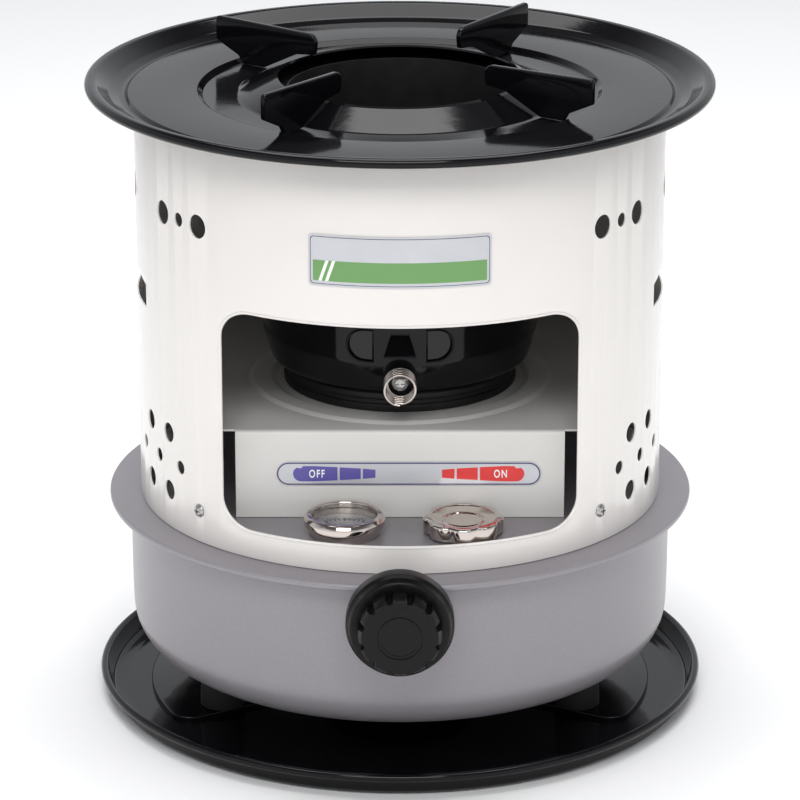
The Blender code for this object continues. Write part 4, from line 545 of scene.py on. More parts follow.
def tank():
    floor = BOWL_LOW.z
    flange = BOWL_HIGH.z - SHEET
    line = rounded([(BOWL_HIGH.x, flange, 0), (TANK_RADIUS, flange, SHEET),
                    (TANK_RADIUS, floor + TANK_WALL_HEIGHT, TANK_SIDE_ROUNDING),
                    (TANK_RADIUS - TANK_NARROWING, floor, TANK_CORNER), (TANK_BORE, floor, 0)], 12)
    bowl = make("tank_bowl_skin", spun(sheet(line, SHEET)), TANK_PAINT, "stove", ["tank_lower"])
    carve(bowl, [rods([((0, -TANK_RADIUS - OVERRUN, SHAFT_HEIGHT),
                        (0, -TANK_RADIUS + OVERRUN, SHAFT_HEIGHT), SHAFT_HOLE)])])
    top, seam = LID_HIGH.z, LID_HIGH.x
    line = rounded([(LID_BORE, top, 0), (LID_WALL, top, LID_CORNER), (LID_WALL, SEAM_TOP, SEAM_FILLET),
                    (seam, SEAM_TOP, SEAM_ROUNDING), (seam, LID_LOW.z, SEAM_ROUNDING),
                    (seam - SEAM_LIP, LID_LOW.z, 0)])
    lid = make("tank_lid_skin", spun(sheet(line, SHEET)), TANK_PAINT, "stove", ["tank_upper"])
    holes = (("filler_cap", FILLER_HOLE), ("gauge_bezel", GAUGE_HOLE))
    carve(lid, [rods([((*middle_of(node), top - OVERRUN), (*middle_of(node), top + OVERRUN), radius)])
                for node, radius in holes])


# Outer shell, with angles in degrees from the front
WINDOW_HALF = radians(41)
WINDOW_TOP = 0.2468
WINDOW_BOTTOM = 0.1288
WINDOW_CORNER = 0.016
SHELL_STEPS = 256
VENT_SIDES = 32
UPPER_VENT_MIDDLES = (54, 90, 126, 162)
UPPER_VENT_SPREAD = 6.6
UPPER_VENT_HEIGHT = 0.2856
UPPER_VENT = 0.00625
SMALL_VENT = 0.00365
LOWER_VENT_MIDDLES = (64.5, 115.5)
LOWER_VENT_STEP = 4.85
LOWER_VENT_HEIGHT = 0.1509
LOWER_VENT_RISE = 0.0159
LOWER_VENT = 0.00525
SCREW_PLACES = {"left_front": -48, "right_front": 48, "left_rear": -132, "right_rear": 132}
SCREW_HEIGHT = 0.132
SCREW_HOLE = 0.0018
GRIP_HALF = radians(18.5)
GRIP_TOP = 0.248
GRIP_SHEAR = 0.2424
GRIP_BOTTOM = 0.2267
GRIP_DEPTH = 0.008
GRIP_STEPS = 12
GRIP_CURVE_SHARE = 2.3
GRIP_END_ANGLE = 0.001
HEM_RADIUS = 0.0009
HEM_SPAN = 0.006


def vents():
    """Every round hole of the shell as (angle, height, radius)."""
    holes = []
    for side in (-1, 1):
        for middle in UPPER_VENT_MIDDLES:
            holes += [(side * middle, UPPER_VENT_HEIGHT, SMALL_VENT),
                      (side * middle - UPPER_VENT_SPREAD, UPPER_VENT_HEIGHT, UPPER_VENT),
                      (side * middle + UPPER_VENT_SPREAD, UPPER_VENT_HEIGHT, UPPER_VENT)]
        for middle in LOWER_VENT_MIDDLES:
            holes += [(side * (middle + step * LOWER_VENT_STEP), LOWER_VENT_HEIGHT, SMALL_VENT)
                      for step in (-2, 0, 2)]
            holes += [(side * (middle + step * LOWER_VENT_STEP), LOWER_VENT_HEIGHT + rise, LOWER_VENT)
                      for step in (-1, 1) for rise in (-LOWER_VENT_RISE, LOWER_VENT_RISE)]
    return holes + [(angle, SCREW_HEIGHT, SCREW_HOLE) for angle in SCREW_PLACES.values()]


def outer_shell():
    radius = SHELL_HIGH.y
    inner = radius - THIN
    low, high = SHELL_LOW.z, SHELL_HIGH.z
    section = rounded([(inner, low, 0), (inner, high, GAP), (radius, high, GAP), (radius, low, GAP),
                       (inner, low, 0)], 3)[:-1]
    shell = make("shell_skin", spun(section, SHELL_STEPS), CREAM, "stove", ["outer_shell"])
    half = radius * sin(WINDOW_HALF)
    near = radius * cos(WINDOW_HALF) - OVERRUN
    corners = [(half, WINDOW_TOP, WINDOW_CORNER), (half, WINDOW_BOTTOM, WINDOW_CORNER),
               (-half, WINDOW_BOTTOM, WINDOW_CORNER), (-half, WINDOW_TOP, WINDOW_CORNER)]
    outline = loop_of(corners, 12)
    cutters = [pushed(outline, radius - near + OVERRUN, at(0, -near, 0) @ ABOUT_Y)]
    for angle, height, size in vents():
        turn = radians(angle)
        cutters.append(rods([(polar(inner - OVERRUN, turn, height),
                              polar(radius + OVERRUN, turn, height), size)], VENT_SIDES))
    falls = [step / GRIP_STEPS for step in range(GRIP_STEPS + 1)]
    line = [(radius - GAP / 2 - GRIP_DEPTH * fall ** GRIP_CURVE_SHARE,
             GRIP_TOP - (GRIP_TOP - GRIP_BOTTOM) * fall) for fall in falls]
    opening = oblong_section(inner - OVERRUN, radius + OVERRUN, GRIP_SHEAR, GRIP_BOTTOM)
    flaps = []
    for side in (-1, 1):
        start, end = side * pi / 2 - GRIP_HALF, side * pi / 2 + GRIP_HALF
        cutters.append(swept(opening, start, end, 2 * GRIP_STEPS))
        flaps.append(swept(sheet(line, THIN), start + GRIP_END_ANGLE, end - GRIP_END_ANGLE,
                           2 * GRIP_STEPS))
    carve(shell, cutters)
    carve(shell, flaps, "UNION")
    hem = [(x, -(radius ** 2 - x ** 2) ** 0.5, z) for x, z in outline]
    dense = []
    for here, there in zip(hem, hem[1:] + hem[:1]):
        pieces = max(1, ceil((Vector(there) - Vector(here)).length / HEM_SPAN))
        for step in range(pieces):
            x = here[0] + (there[0] - here[0]) * step / pieces
            z = here[2] + (there[2] - here[2]) * step / pieces
            dense.append((x, -(radius ** 2 - x ** 2) ** 0.5 + THIN / 2, z))
    make("window_hem", tube(dense, HEM_RADIUS, 12, True), CREAM, "stove")


# Screws with a cross recess, in shares of the head's radius and height
CROWN_SHARES = (0.62, 0.9, 0.3)
HEAD_EDGE_SHARES = (0.25, 0.2)
RECESS_SHARES = (0.13, 0.58, 0.35)


def cross_screw(name, head, rise, shank, length, place, body):
    """A pan-head screw with a cross recess, standing for the CAD screw of that name."""
    crown, crown_height, crown_rounding = CROWN_SHARES
    edge, edge_rounding = HEAD_EDGE_SHARES
    section = rounded([(0, rise, 0), (head * crown, rise * crown_height, head * crown_rounding),
                       (head, rise * edge, rise * edge_rounding), (head, 0, 0), (shank, 0, 0),
                       (shank, -length, 0), (0, -length, 0)], 6)
    piece = make(f"{name}_skin", spun(section, SMALL), STEEL, body, [name])
    half, reach, floor = RECESS_SHARES
    carve(piece, [block((-x, -y, rise * floor), (x, y, rise * 2))
                  for x, y in ((head * reach, head * half), (head * half, head * reach))])
    piece.data.transform(place)


SHELL_SCREW = (0.0035, 0.0021, 0.0015, 0.006)
SCREW_LIFT = 0.0001


def shell_screws():
    for place, angle in SCREW_PLACES.items():
        out = at(0, -SHELL_HIGH.y - SCREW_LIFT, SCREW_HEIGHT) @ ABOUT_Y
        cross_screw(f"shell_screw_{place}", *SHELL_SCREW, Matrix.Rotation(radians(angle), 4, "Z") @ out,
                    "stove")


# Top plate and flame collar
PLATE_RIM_HEIGHT = 0.007
WELL_DEPTH = 0.0025
CHANNEL_DEPTH = 0.0017
PLATE_BEAD = 0.0026
CONE_TOP_RADIUS = 0.0662
CONE_TOP = 0.3394
CONE_LIP_RADIUS = 0.0640
CONE_LIP = 0.3400
CONE_FOOT_RADIUS = 0.0855
WELL_FLOOR_RADIUS = 0.1035
WELL_RADIUS = 0.106
CHANNEL_RADIUS = 0.1465
SLOPE_RADIUS = 0.152
SLOPE_HEIGHT = 0.3340
CREST_RADIUS = 0.1595
CREST_DROP = 0.0001
PLATE_FOLD = 0.0012
PLATE_SWEEP = 0.006
CREST_ROUNDING = 0.004
COLLAR_RADIUS = 0.0595


def top_plate():
    radius, rim = PLATE_HIGH.x, PLATE_HIGH.z
    plateau = rim - PLATE_RIM_HEIGHT
    floor, channel = plateau - WELL_DEPTH, plateau - CHANNEL_DEPTH
    wall = SHELL_HIGH.y + SHEET + CHANNEL_DEPTH
    line = rounded([(CONE_LIP_RADIUS, CONE_LIP, 0), (CONE_TOP_RADIUS, CONE_TOP, SHEET),
                    (CONE_FOOT_RADIUS, floor, PLATE_SWEEP), (WELL_FLOOR_RADIUS, floor, PLATE_FOLD),
                    (WELL_RADIUS, plateau, PLATE_FOLD), (wall, plateau, PLATE_FOLD),
                    (wall + CHANNEL_DEPTH, channel, PLATE_FOLD), (CHANNEL_RADIUS, channel, PLATE_SWEEP),
                    (SLOPE_RADIUS, SLOPE_HEIGHT, PLATE_SWEEP),
                    (CREST_RADIUS, rim - CREST_DROP, CREST_ROUNDING), (radius - PLATE_BEAD, rim, 0)],
                   6)[:-1]
    line += arc((radius - PLATE_BEAD, rim - PLATE_BEAD), PLATE_BEAD, 96, -120, ROLL_STEPS)
    make("top_plate_skin", spun(sheet(line, SHEET), SHELL_STEPS), BLACK, "top", ["top_plate"])
    bore, high, low = COLLAR_RADIUS - SHEET, COLLAR_HIGH.z, COLLAR_LOW.z
    flange, flange_top = COLLAR_HIGH.x, floor - SHEET - GAP
    section = rounded([(bore, high, 0), (COLLAR_RADIUS, high, GAP), (COLLAR_RADIUS, flange_top, SHEET),
                       (flange, flange_top, GAP), (flange, flange_top - SHEET, GAP),
                       (COLLAR_RADIUS, flange_top - SHEET, SHEET), (COLLAR_RADIUS, low, GAP),
                       (bore, low, GAP), (bore, high, 0)], 4)[:-1]
    make("flame_collar_skin", spun(section), IRON, "top", ["flame_collar"])


# Pan supports, from the toe in the well along the underside, over the tip and back to the heel
SUPPORT_THICKNESS = 0.0028
SUPPORT_EDGE = 0.0006
SUPPORT_PLACES = {"front_left": -35, "front_right": 55, "rear_right": 145, "rear_left": -125}
SUPPORT_UNDERSIDE = ((0.0668, 0.3416, 0.003), (0.0545, 0.343, 0.0015))
SUPPORT_TOP = ((0.053, 0.354, 0.005), (0.120, 0.3555, 0.0022))
SUPPORT_HEEL = ((0.120, 0.3425, 0.002), (0.105, 0.3355, 0.003))
SUPPORT_TOE = (0.0880, 0.1025)
SUPPORT_TOE_ROUNDING = (0.001, 0.0008)


def pan_supports():
    floor = PLATE_HIGH.z - PLATE_RIM_HEIGHT - WELL_DEPTH + GAP
    feet_ends = [(across, floor, turn) for across, turn in zip(SUPPORT_TOE, SUPPORT_TOE_ROUNDING)]
    corners = [feet_ends[0], *SUPPORT_UNDERSIDE, *SUPPORT_TOP, *SUPPORT_HEEL, feet_ends[1]]
    outline = [(-across, height) for across, height in loop_of(corners, 8)]
    centred = at(-SUPPORT_THICKNESS / 2, 0, 0) @ SIDE_FRAME
    for place, angle in SUPPORT_PLACES.items():
        turn = Matrix.Rotation(radians(angle), 4, "Z") @ centred
        make(f"pan_support_{place}_skin", pushed(outline, SUPPORT_THICKNESS, turn, SUPPORT_EDGE), BLACK,
             "top", [f"pan_support_{place}"])


# Deck
DECK_RADIUS = 0.1375
DECK_FRONT = 0.0905
DECK_BEND = 0.0025
DECK_LAP = 0.004
DECK_NOTCH_LAP = 0.002
APRON_HALF = 0.085
REAR_LEG_HALF = 0.060
DECK_BORE = 0.0485
DECK_STEPS = 128
BEAD_INNER = 0.066
BEAD_OUTER = 0.081
BEAD_SLOPE = 0.003
BEAD_RISE = 0.0012
BEAD_FILLET = 0.0001


def deck():
    radius, top, foot = DECK_RADIUS, DECK_HIGH.z, DECK_LOW.z
    turns = [2 * pi * step / DECK_STEPS for step in range(DECK_STEPS)]
    disc = [(radius * cos(turn), radius * sin(turn)) for turn in turns]
    plate = make("deck_skin", pushed(disc, SHEET, at(0, 0, top - SHEET)), DECK_PAINT,
                 "stove", ["deck"])
    cut = DECK_FRONT - DECK_BEND
    past = radius + OVERRUN
    carve(plate, [block((-past, -past, top - OVERRUN), (past, -cut, top + OVERRUN)),
                  block((-REAR_LEG_HALF, cut - DECK_NOTCH_LAP, top - OVERRUN),
                        (REAR_LEG_HALF, past, top + OVERRUN))])
    legs = []
    for side, half in ((-1, APRON_HALF), (1, REAR_LEG_HALF)):
        line = rounded([(side * (cut - DECK_LAP), top, 0), (side * DECK_FRONT, top, DECK_BEND),
                        (side * DECK_FRONT, foot, 0)], 9)
        legs.append(pushed(sheet(line, SHEET * side), 2 * half, at(-half, 0, 0) @ SIDE_FRAME))
    carve(plate, legs, "UNION")
    carve(plate, [rods([((0, 0, top - OVERRUN), (0, 0, top + OVERRUN), DECK_BORE)], ROUND)])
    crest = top + BEAD_RISE
    bead = rounded([(BEAD_INNER, top - GAP, 0), (BEAD_INNER, top, BEAD_FILLET),
                    (BEAD_INNER + BEAD_SLOPE, crest, SHEET), (BEAD_OUTER - BEAD_SLOPE, crest, SHEET),
                    (BEAD_OUTER, top, BEAD_FILLET), (BEAD_OUTER, top - GAP, 0)], 5)
    make("deck_bead", spun(bead), DECK_PAINT, "stove")


# Burner drum, its two windows, the mica behind them and the base ring
NECK_RADIUS = 0.0625
NECK_END = 0.292
NECK_ROUNDING = 0.010
SHOULDER = 0.270
SHOULDER_ROUNDING = 0.014
WAIST = 0.205
WAIST_ROUNDING = 0.012
HIP_RADIUS = 0.0690
HIP = 0.1898
HIP_ROUNDING = 0.006
DRUM_FOOT_RADIUS = 0.064
DRUM_FOOT_ROUNDING = 0.003
DRUM_FOOT_BORE = 0.056
VIEW_HALF = 0.0085
VIEW_START = 0.014
VIEW_END = 0.0275
VIEW_HEIGHT = 0.2143
VIEW_STEPS = 20
VIEW_RIM = 0.0006
VIEW_CUT_START = 0.058
VIEW_CUT_DEPTH = 0.02
PIN_HOLE = 0.0018
PIN_HEIGHT = 0.240
PIN_REACH = 0.08
PANE_LAP = 0.003
PANE_DEPTHS = (0.0017, 0.0012)
PANE_HALF = radians(25)
PANE_STEPS = 40
RING_BORE = 0.0478
RING_WALL = 0.004
RING_UNDERSIDE = 0.180
RING_TOP_ROUNDING = 0.0012
RING_FOOT_ROUNDING = 0.0005
RING_FOLD = 0.0004
RING_GROOVE = ((0, 0.0035), (0.0012, 0.0042), (0.0012, 0.0062), (0, 0.0068))


def view_outline(side):
    """One of the drum's two windows from the front: square at the bar and round at its end."""
    end = arc((VIEW_END - VIEW_HALF, VIEW_HEIGHT), VIEW_HALF, 90, -90, VIEW_STEPS)
    return [(side * x, z) for x, z in [(VIEW_START, VIEW_HEIGHT + VIEW_HALF), *end,
                                       (VIEW_START, VIEW_HEIGHT - VIEW_HALF)]]


def burner():
    foot, top, radius = DRUM_LOW.z, DRUM_HIGH.z, DRUM_HIGH.x
    line = rounded([(NECK_RADIUS, top, 0), (NECK_RADIUS, NECK_END, NECK_ROUNDING),
                    (radius, SHOULDER, SHOULDER_ROUNDING), (radius, WAIST, WAIST_ROUNDING),
                    (HIP_RADIUS, HIP, HIP_ROUNDING), (DRUM_FOOT_RADIUS, foot, DRUM_FOOT_ROUNDING),
                    (DRUM_FOOT_BORE, foot, 0)], 12)
    drum = make("burner_drum_skin", spun(sheet(line, THIN)), BLACK, "burner", ["burner_drum"])
    front = at(0, -VIEW_CUT_START, 0) @ ABOUT_Y
    cutters = [pushed(view_outline(side), VIEW_CUT_DEPTH, front) for side in (-1, 1)]
    cutters.append(rods([((-PIN_REACH, 0, PIN_HEIGHT), (PIN_REACH, 0, PIN_HEIGHT), PIN_HOLE)], 24))
    carve(drum, cutters)
    for side in (-1, 1):
        hem = [(x, -(radius ** 2 - x ** 2) ** 0.5, z) for x, z in view_outline(side)]
        make(f"drum_window_rim_{side + 1}", tube(hem, VIEW_RIM, 8, True), BLACK, "burner")
    back, face = PANE_DEPTHS
    reach = VIEW_HALF + PANE_LAP
    section = oblong_section(radius - back, radius - face, VIEW_HEIGHT + reach, VIEW_HEIGHT - reach)
    make("mica_pane", swept(section, -PANE_HALF, PANE_HALF, PANE_STEPS), MICA, "burner",
         ["view_window"])
    outer, low, high = RING_HIGH.x, RING_LOW.z, RING_HIGH.z
    groove = [(outer - inset, high - drop, RING_FOLD) for inset, drop in RING_GROOVE]
    section = rounded([(RING_BORE, high, 0), (outer, high, RING_TOP_ROUNDING), *groove,
                       (outer, low, RING_FOOT_ROUNDING), (outer - RING_WALL, low, GAP),
                       (outer - RING_WALL, RING_UNDERSIDE, SHEET), (RING_BORE, RING_UNDERSIDE, 0)], 4)
    make("base_ring_skin", spun(section), IRON, "burner", ["burner_base_ring"])


# Spring handle on its strap, whose cuts are given as (across, height)
COIL_WIRE = 0.0007
COIL_RADIUS = 0.00795
COIL_PITCH = 0.0027
COIL_TURNS = 5
LEAD_RADIUS = 0.0036
LEAD_TURNS = 0.75
STEPS_PER_TURN = 32
HANDLE_HEIGHT = 0.198
HANDLE_SCREW = (0.0042, 0.0021, 0.0018, 0.0045)
STRAP_FACE = 0.0805
STRAP_SKIN = 0.0733
STRAP_THICKNESS = 0.0015
STRAP_HALF = 0.0085
STRAP_TOP = 0.2265
STRAP_NECK = 0.2215
STRAP_SHOULDER = 0.211
STRAP_FOOT = 0.188
STRAP_BEND = 0.003
STRAP_CUTS = (((0.0085, 0.211), (0.0045, 0.2215), (0.0045, 0.232), (0.013, 0.232), (0.013, 0.211)),
              ((0.0086, 0.1879), (0.0086, 0.192), (0.0045, 0.1879)))
STRAP_CUT_START = 0.06
STRAP_CUT_DEPTH = 0.03


def handle():
    start = STRAP_FACE + GAP + COIL_WIRE
    points = []
    for index in range(int(STEPS_PER_TURN * (LEAD_TURNS + COIL_TURNS)) + 1):
        turn = index / STEPS_PER_TURN
        share = min(1, turn / LEAD_TURNS)
        reach = LEAD_RADIUS + (COIL_RADIUS - LEAD_RADIUS) * share
        advance = max(0, turn - LEAD_TURNS) * COIL_PITCH
        points.append((reach * cos(2 * pi * turn), -start - advance,
                       HANDLE_HEIGHT + reach * sin(2 * pi * turn)))
    make("spring_handle_coil", tube(points, COIL_WIRE, 16), CHROME, "burner", ["spring_handle"])
    head = start + COIL_WIRE + GAP
    cross_screw("handle_screw", *HANDLE_SCREW, at(0, -head, HANDLE_HEIGHT) @ ABOUT_Y, "burner")
    hold = STRAP_SKIN + STRAP_THICKNESS
    line = rounded([(-hold, STRAP_TOP, 0), (-hold, STRAP_NECK, STRAP_BEND),
                    (-STRAP_FACE, STRAP_SHOULDER, STRAP_BEND), (-STRAP_FACE, STRAP_FOOT, 0)], 6)
    centred = at(-STRAP_HALF, 0, 0) @ SIDE_FRAME
    strap = make("handle_strap", pushed(sheet(line, -STRAP_THICKNESS), 2 * STRAP_HALF, centred), BLACK,
                 "burner", ["handle_bracket"])
    front = at(0, -STRAP_CUT_START, 0) @ ABOUT_Y
    carve(strap, [pushed([(side * x, z) for x, z in cut], STRAP_CUT_DEPTH, front)
                  for side in (-1, 1) for cut in STRAP_CUTS])


def lobed(radius, depth, lobes, per_lobe, sharpness):
    """Outline with round lobes and narrower round valleys, one lobe at the top."""
    outline = []
    for index in range(lobes * per_lobe):
        turn = 2 * pi * index / (lobes * per_lobe)
        reach = radius - depth * ((1 - cos(lobes * turn)) / 2) ** sharpness
        outline.append((-reach * sin(turn), reach * cos(turn)))
    return outline


# Shares of a tooth's angle: places across a block, and the width of the hollow after it
BLOCK_SHARES = (-0.30, -0.15, 0.0, 0.15, 0.30)
HOLLOW_SHARE = 0.40
HOLLOW_STEPS = 8


def cogged(outer, inner, teeth):
    """Outline of broad blocks with narrow round hollows between them, one block at the top."""
    outline = []
    step = 2 * pi / teeth
    for index in range(teeth):
        middle = index * step
        for share in BLOCK_SHARES:
            outline.append((-outer * sin(middle + share * step), outer * cos(middle + share * step)))
        for turn in range(1, HOLLOW_STEPS):
            share = BLOCK_SHARES[-1] + HOLLOW_SHARE * turn / HOLLOW_STEPS
            reach = outer - (outer - inner) * sin(pi * turn / HOLLOW_STEPS) ** 0.5
            outline.append((-reach * sin(middle + share * step), reach * cos(middle + share * step)))
    return outline


# Wick knob, profiles as (radius, height, rounding) with the height measured from the tank's wall
KNOB_BORE = 0.0033
KNOB_BORE_DEPTH = 0.0183
KNOB_FACE = ((KNOB_BORE, 0.0140, 0), (0.0180, 0.0140, 0), (0.0254, 0.0150, 0.0012),
             (0.0262, 0.0100, 0.002))
KNOB_SKIRT_HEIGHT = 0.0085
KNOB_BACK = ((0.0248, 0, 0.0004), (0.0248, 0.006, 0.0006), (0.008, 0.006, 0.0006), (0.008, 0, 0.0004))
KNOB_GRIP_BASE = 0.0143
KNOB_LOBE_RADIUS = 0.0212
KNOB_COVE_RADIUS = 0.0183
KNOB_LOBES = 12
KNOB_GRIP_EDGE = 0.0005
KNOB_TOP_RADIUS = 0.0194
KNOB_TAPER_RADIUS = 0.0215
KNOB_TAPER_HEIGHT = 0.0035
KNOB_CUT_RADIUS = 0.030
KNOB_GROOVE = (0.01085, 0.01165, 0.0006)
KNOB_DISH = (0, 0.0098, 0.0003)
KNOB_CUT_RISE = 0.002
TURNED_STEPS = 128


def wick_knob():
    height = KNOB_HIGH.y - KNOB_LOW.y
    place = at(0, KNOB_HIGH.y, (KNOB_LOW.z + KNOB_HIGH.z) / 2) @ ABOUT_Y
    skirt = KNOB_HIGH.x
    body = rounded([(KNOB_BORE, 0, 0), *KNOB_FACE, (skirt, KNOB_SKIRT_HEIGHT, SHEET),
                    (skirt, 0, SHEET), *KNOB_BACK], 6)
    make("wick_knob_skirt", spun(body, TURNED_STEPS, place), PHENOLIC, "knob", ["wick_knob"])
    base = KNOB_GRIP_BASE
    outline = cogged(KNOB_LOBE_RADIUS, KNOB_COVE_RADIUS, KNOB_LOBES)
    top = make("wick_knob_grip", pushed(outline, height - base, Matrix(), KNOB_GRIP_EDGE), PHENOLIC,
               "knob", ["wick_knob"])
    top.data.transform(place @ at(0, 0, base))
    chamfer = rounded([(KNOB_TOP_RADIUS, height + OVERRUN, 0), (KNOB_TOP_RADIUS, height, 0),
                       (KNOB_TAPER_RADIUS, height - KNOB_TAPER_HEIGHT, SHEET),
                       (KNOB_TAPER_RADIUS, base - OVERRUN, 0), (KNOB_CUT_RADIUS, base - OVERRUN, 0),
                       (KNOB_CUT_RADIUS, height + OVERRUN, 0)], 5)
    rings = [spun(oblong_section(inner, outer, height + KNOB_CUT_RISE, height - depth), ROUND, place)
             for inner, outer, depth in (KNOB_GROOVE, KNOB_DISH)]
    carve(top, [spun(chamfer, FINE, place), *rings,
                rods([(place @ Vector((0, 0, -0.01)), place @ Vector((0, 0, KNOB_BORE_DEPTH)),
                       KNOB_BORE)], 32)])


# Filler cap, its recess as (radius, depth below the top, rounding)
CAP_RADIUS = 0.0208
CAP_SCALLOP = 0.0016
CAP_SCALLOPS = 8
SCALLOP_STEPS = 24
SCALLOP_SHARPNESS = 2
CAP_EDGE = 0.0013
CAP_HOLLOW_RADIUS = 0.0182
CAP_HOLLOW_TOP = 0.1331
CAP_RECESS = ((0.0172, 0, 0.0006), (0.0166, 0.0004, 0.0006), (0.0112, 0.0019, 0.0022),
              (0.0104, 0.0013, 0.0004), (0.0098, 0.0013, 0.0004), (0.0092, 0.0019, 0.0004),
              (0, 0.0019, 0))


def below(top, profile):
    """Corners given by their depth below a height."""
    return [(radius, top - depth, rounding) for radius, depth, rounding in profile]


def filler_cap():
    x, y = middle_of("filler_cap")
    low, top = CAP_LOW.z, CAP_HIGH.z
    outline = lobed(CAP_RADIUS, CAP_SCALLOP, CAP_SCALLOPS, SCALLOP_STEPS, SCALLOP_SHARPNESS)
    whole = pushed(outline, top - low, at(x, y, low), CAP_EDGE, 5)
    cap = make("filler_cap_skin", whole, CHROME, "cap", ["filler_cap"])
    axis = at(x, y, 0)
    hollow = oblong_section(0, CAP_HOLLOW_RADIUS, CAP_HOLLOW_TOP, low - OVERRUN)
    above = [(0, top + OVERRUN, 0), (CAP_RECESS[0][0], top + OVERRUN, 0)]
    recess = rounded(above + below(top, CAP_RECESS), 5)
    carve(cap, [spun(hollow, ROUND, axis), spun(recess, ROUND, axis)])


# Fuel gauge: the bezel's profile as (radius, depth below the top or rise above the foot, rounding)
BEZEL_RIM = ((0.0168, 0.0006, 0), (0.0172, 0, 0.0005), (0.0194, 0, 0.0012), (0.021, 0.0022, 0.002),
             (0.021, 0.0055, 0.003))
BEZEL_FOOT = ((0.0182, 0.001, 0.002), (0.0182, 0, 0.0002), (0.0150, 0, 0), (0.0150, 0.003, 0),
              (0.0175, 0.003, 0))
BEZEL_LEDGES = ((0.0175, 0.0027, 0), (0.0168, 0.0027, 0), (0.0168, 0.0020, 0), (0.0175, 0.0020, 0),
                (0.0175, 0.0007, 0), (0.0168, 0.0007, 0))
DIAL_RADIUS = 0.0172
DIAL_SLOT_HALF = 0.011
DIAL_SLOT_NEAR = 0.0055
DIAL_SLOT_FAR = 0.0021
MARKS = 9
MARK_START = -36
MARK_STEP = 9
MARK_CENTRE = 0.0055
MARK_NEAR = (0.0152, 0.0125)
MARK_FAR = (0.0175, 0.0148)
MARK_LIMIT = 0.0168
MARK_LIFT = 0.00005
FINE_MARK = 0.00035
BROAD_MARK = 0.0006
LETTER_DEPTH = 0.00004
LETTER_WEIGHT = 0.02
DIAL_LETTERS = (("dial_words", "FUEL GAUGE", 0.0031, 0, 0.0092, 1.1),
                ("dial_full", "F", 0.0040, 0.0112, 0.0018, 1.0),
                ("dial_empty", "E", 0.0040, -0.0112, 0.0018, 1.0))


def gauge():
    x, y = middle_of("gauge_bezel")
    low, top = BEZEL_LOW.z, BEZEL_HIGH.z
    foot = [(radius, low + rise, rounding) for radius, rise, rounding in BEZEL_FOOT]
    section = rounded(below(top, BEZEL_RIM) + foot + below(top, BEZEL_LEDGES), 6)
    make("gauge_bezel_skin", spun(section, TURNED_STEPS, at(x, y, 0)), CHROME,
         "stove", ["gauge_bezel"])
    dial_top, dial_low = DIAL_HIGH.z, DIAL_LOW.z
    black = ink("black_dial_ink", "1A1A1C")
    disc = rods([((x, y, dial_low), (x, y, dial_top), DIAL_RADIUS)], TURNED_STEPS)
    dial = make("gauge_dial_face", disc, DIAL_METAL, "stove", ["gauge_dial"])
    carve(dial, [block((x - DIAL_SLOT_HALF, y - DIAL_SLOT_NEAR, dial_low - SHEET),
                       (x + DIAL_SLOT_HALF, y - DIAL_SLOT_FAR, dial_top + SHEET))])
    for number in range(MARKS):
        angle = radians(MARK_START + MARK_STEP * number)
        near, far = [Vector((x + across * sin(angle), y - MARK_CENTRE + along * cos(angle),
                             dial_top + MARK_LIFT)) for across, along in (MARK_NEAR, MARK_FAR)]
        width = FINE_MARK if number % 4 else BROAD_MARK
        if (far - Vector((x, y, far.z))).length < MARK_LIMIT:
            make(f"dial_mark_{number}", rods([(near, far, width)], 6), black, "stove")
    for name, words, size, across, along, spacing in DIAL_LETTERS:
        plain_text(name, words, size, (x + across, y + along, dial_top + LETTER_DEPTH), Matrix(), black,
                   spacing)


def plain_text(name, words, size, place, turn, look, spacing=1.0):
    """Bold generic lettering as a thin mesh on the stove's body, centred on its place."""
    curve = bpy.data.curves.new(name, "FONT")
    curve.body = words
    curve.size = size
    curve.extrude = LETTER_DEPTH
    curve.offset = size * LETTER_WEIGHT
    curve.space_character = spacing
    curve.align_x = "CENTER"
    curve.align_y = "CENTER"
    guide = placed(name, curve)
    mesh = finished_mesh(guide)
    bpy.data.objects.remove(guide, do_unlink=True)
    mesh.transform(Matrix.Translation(place) @ turn)
    mesh.materials.clear()
    mesh.materials.append(look)
    piece = placed(name, mesh)
    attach(piece, "stove")


# Control plate; its blocks grow outwards from the middle, given for the right side
PRINT_THICKNESS = 0.00006
BORDER_INSET = 0.0004
FIELD_INSET = 0.0011
FILM = 0.00003
OBLONG_STEPS = 20
BLOCK_START = 0.0368
BLOCK_SPREAD = 0.012
BLOCK_TIP = 0.0598
BLOCK_HALF = 0.0042
BLOCK_NARROWING = 0.86
BLOCK_BITE = ((0.0052, 0), (0.0044, 0.0011), (0.0029, 0.0012), (0.0021, 0.0008))
NOSE_STEPS = 16
NOSE_START = 5
STEP_BLOCKS = ((0.0248, 0.0357, 0.0035), (0.0172, 0.0237, 0.0028))
STEP_SLANT = 0.0006
CONTROL_LETTERS = (0.0475, 0.00018, -0.0002)
CONTROL_LETTER_SIZE = 0.0060
CONTROL_LETTER_SPACING = 1.25
LETTER_NARROWING = 0.68


def oblong(long, tall):
    """Outline of an oblong with round ends."""
    turns = [pi / 2 - pi * step / OBLONG_STEPS for step in range(OBLONG_STEPS + 1)]
    return [(side * (long - tall + tall * cos(turn)), side * tall * sin(turn)) for side in (1, -1)
            for turn in turns]


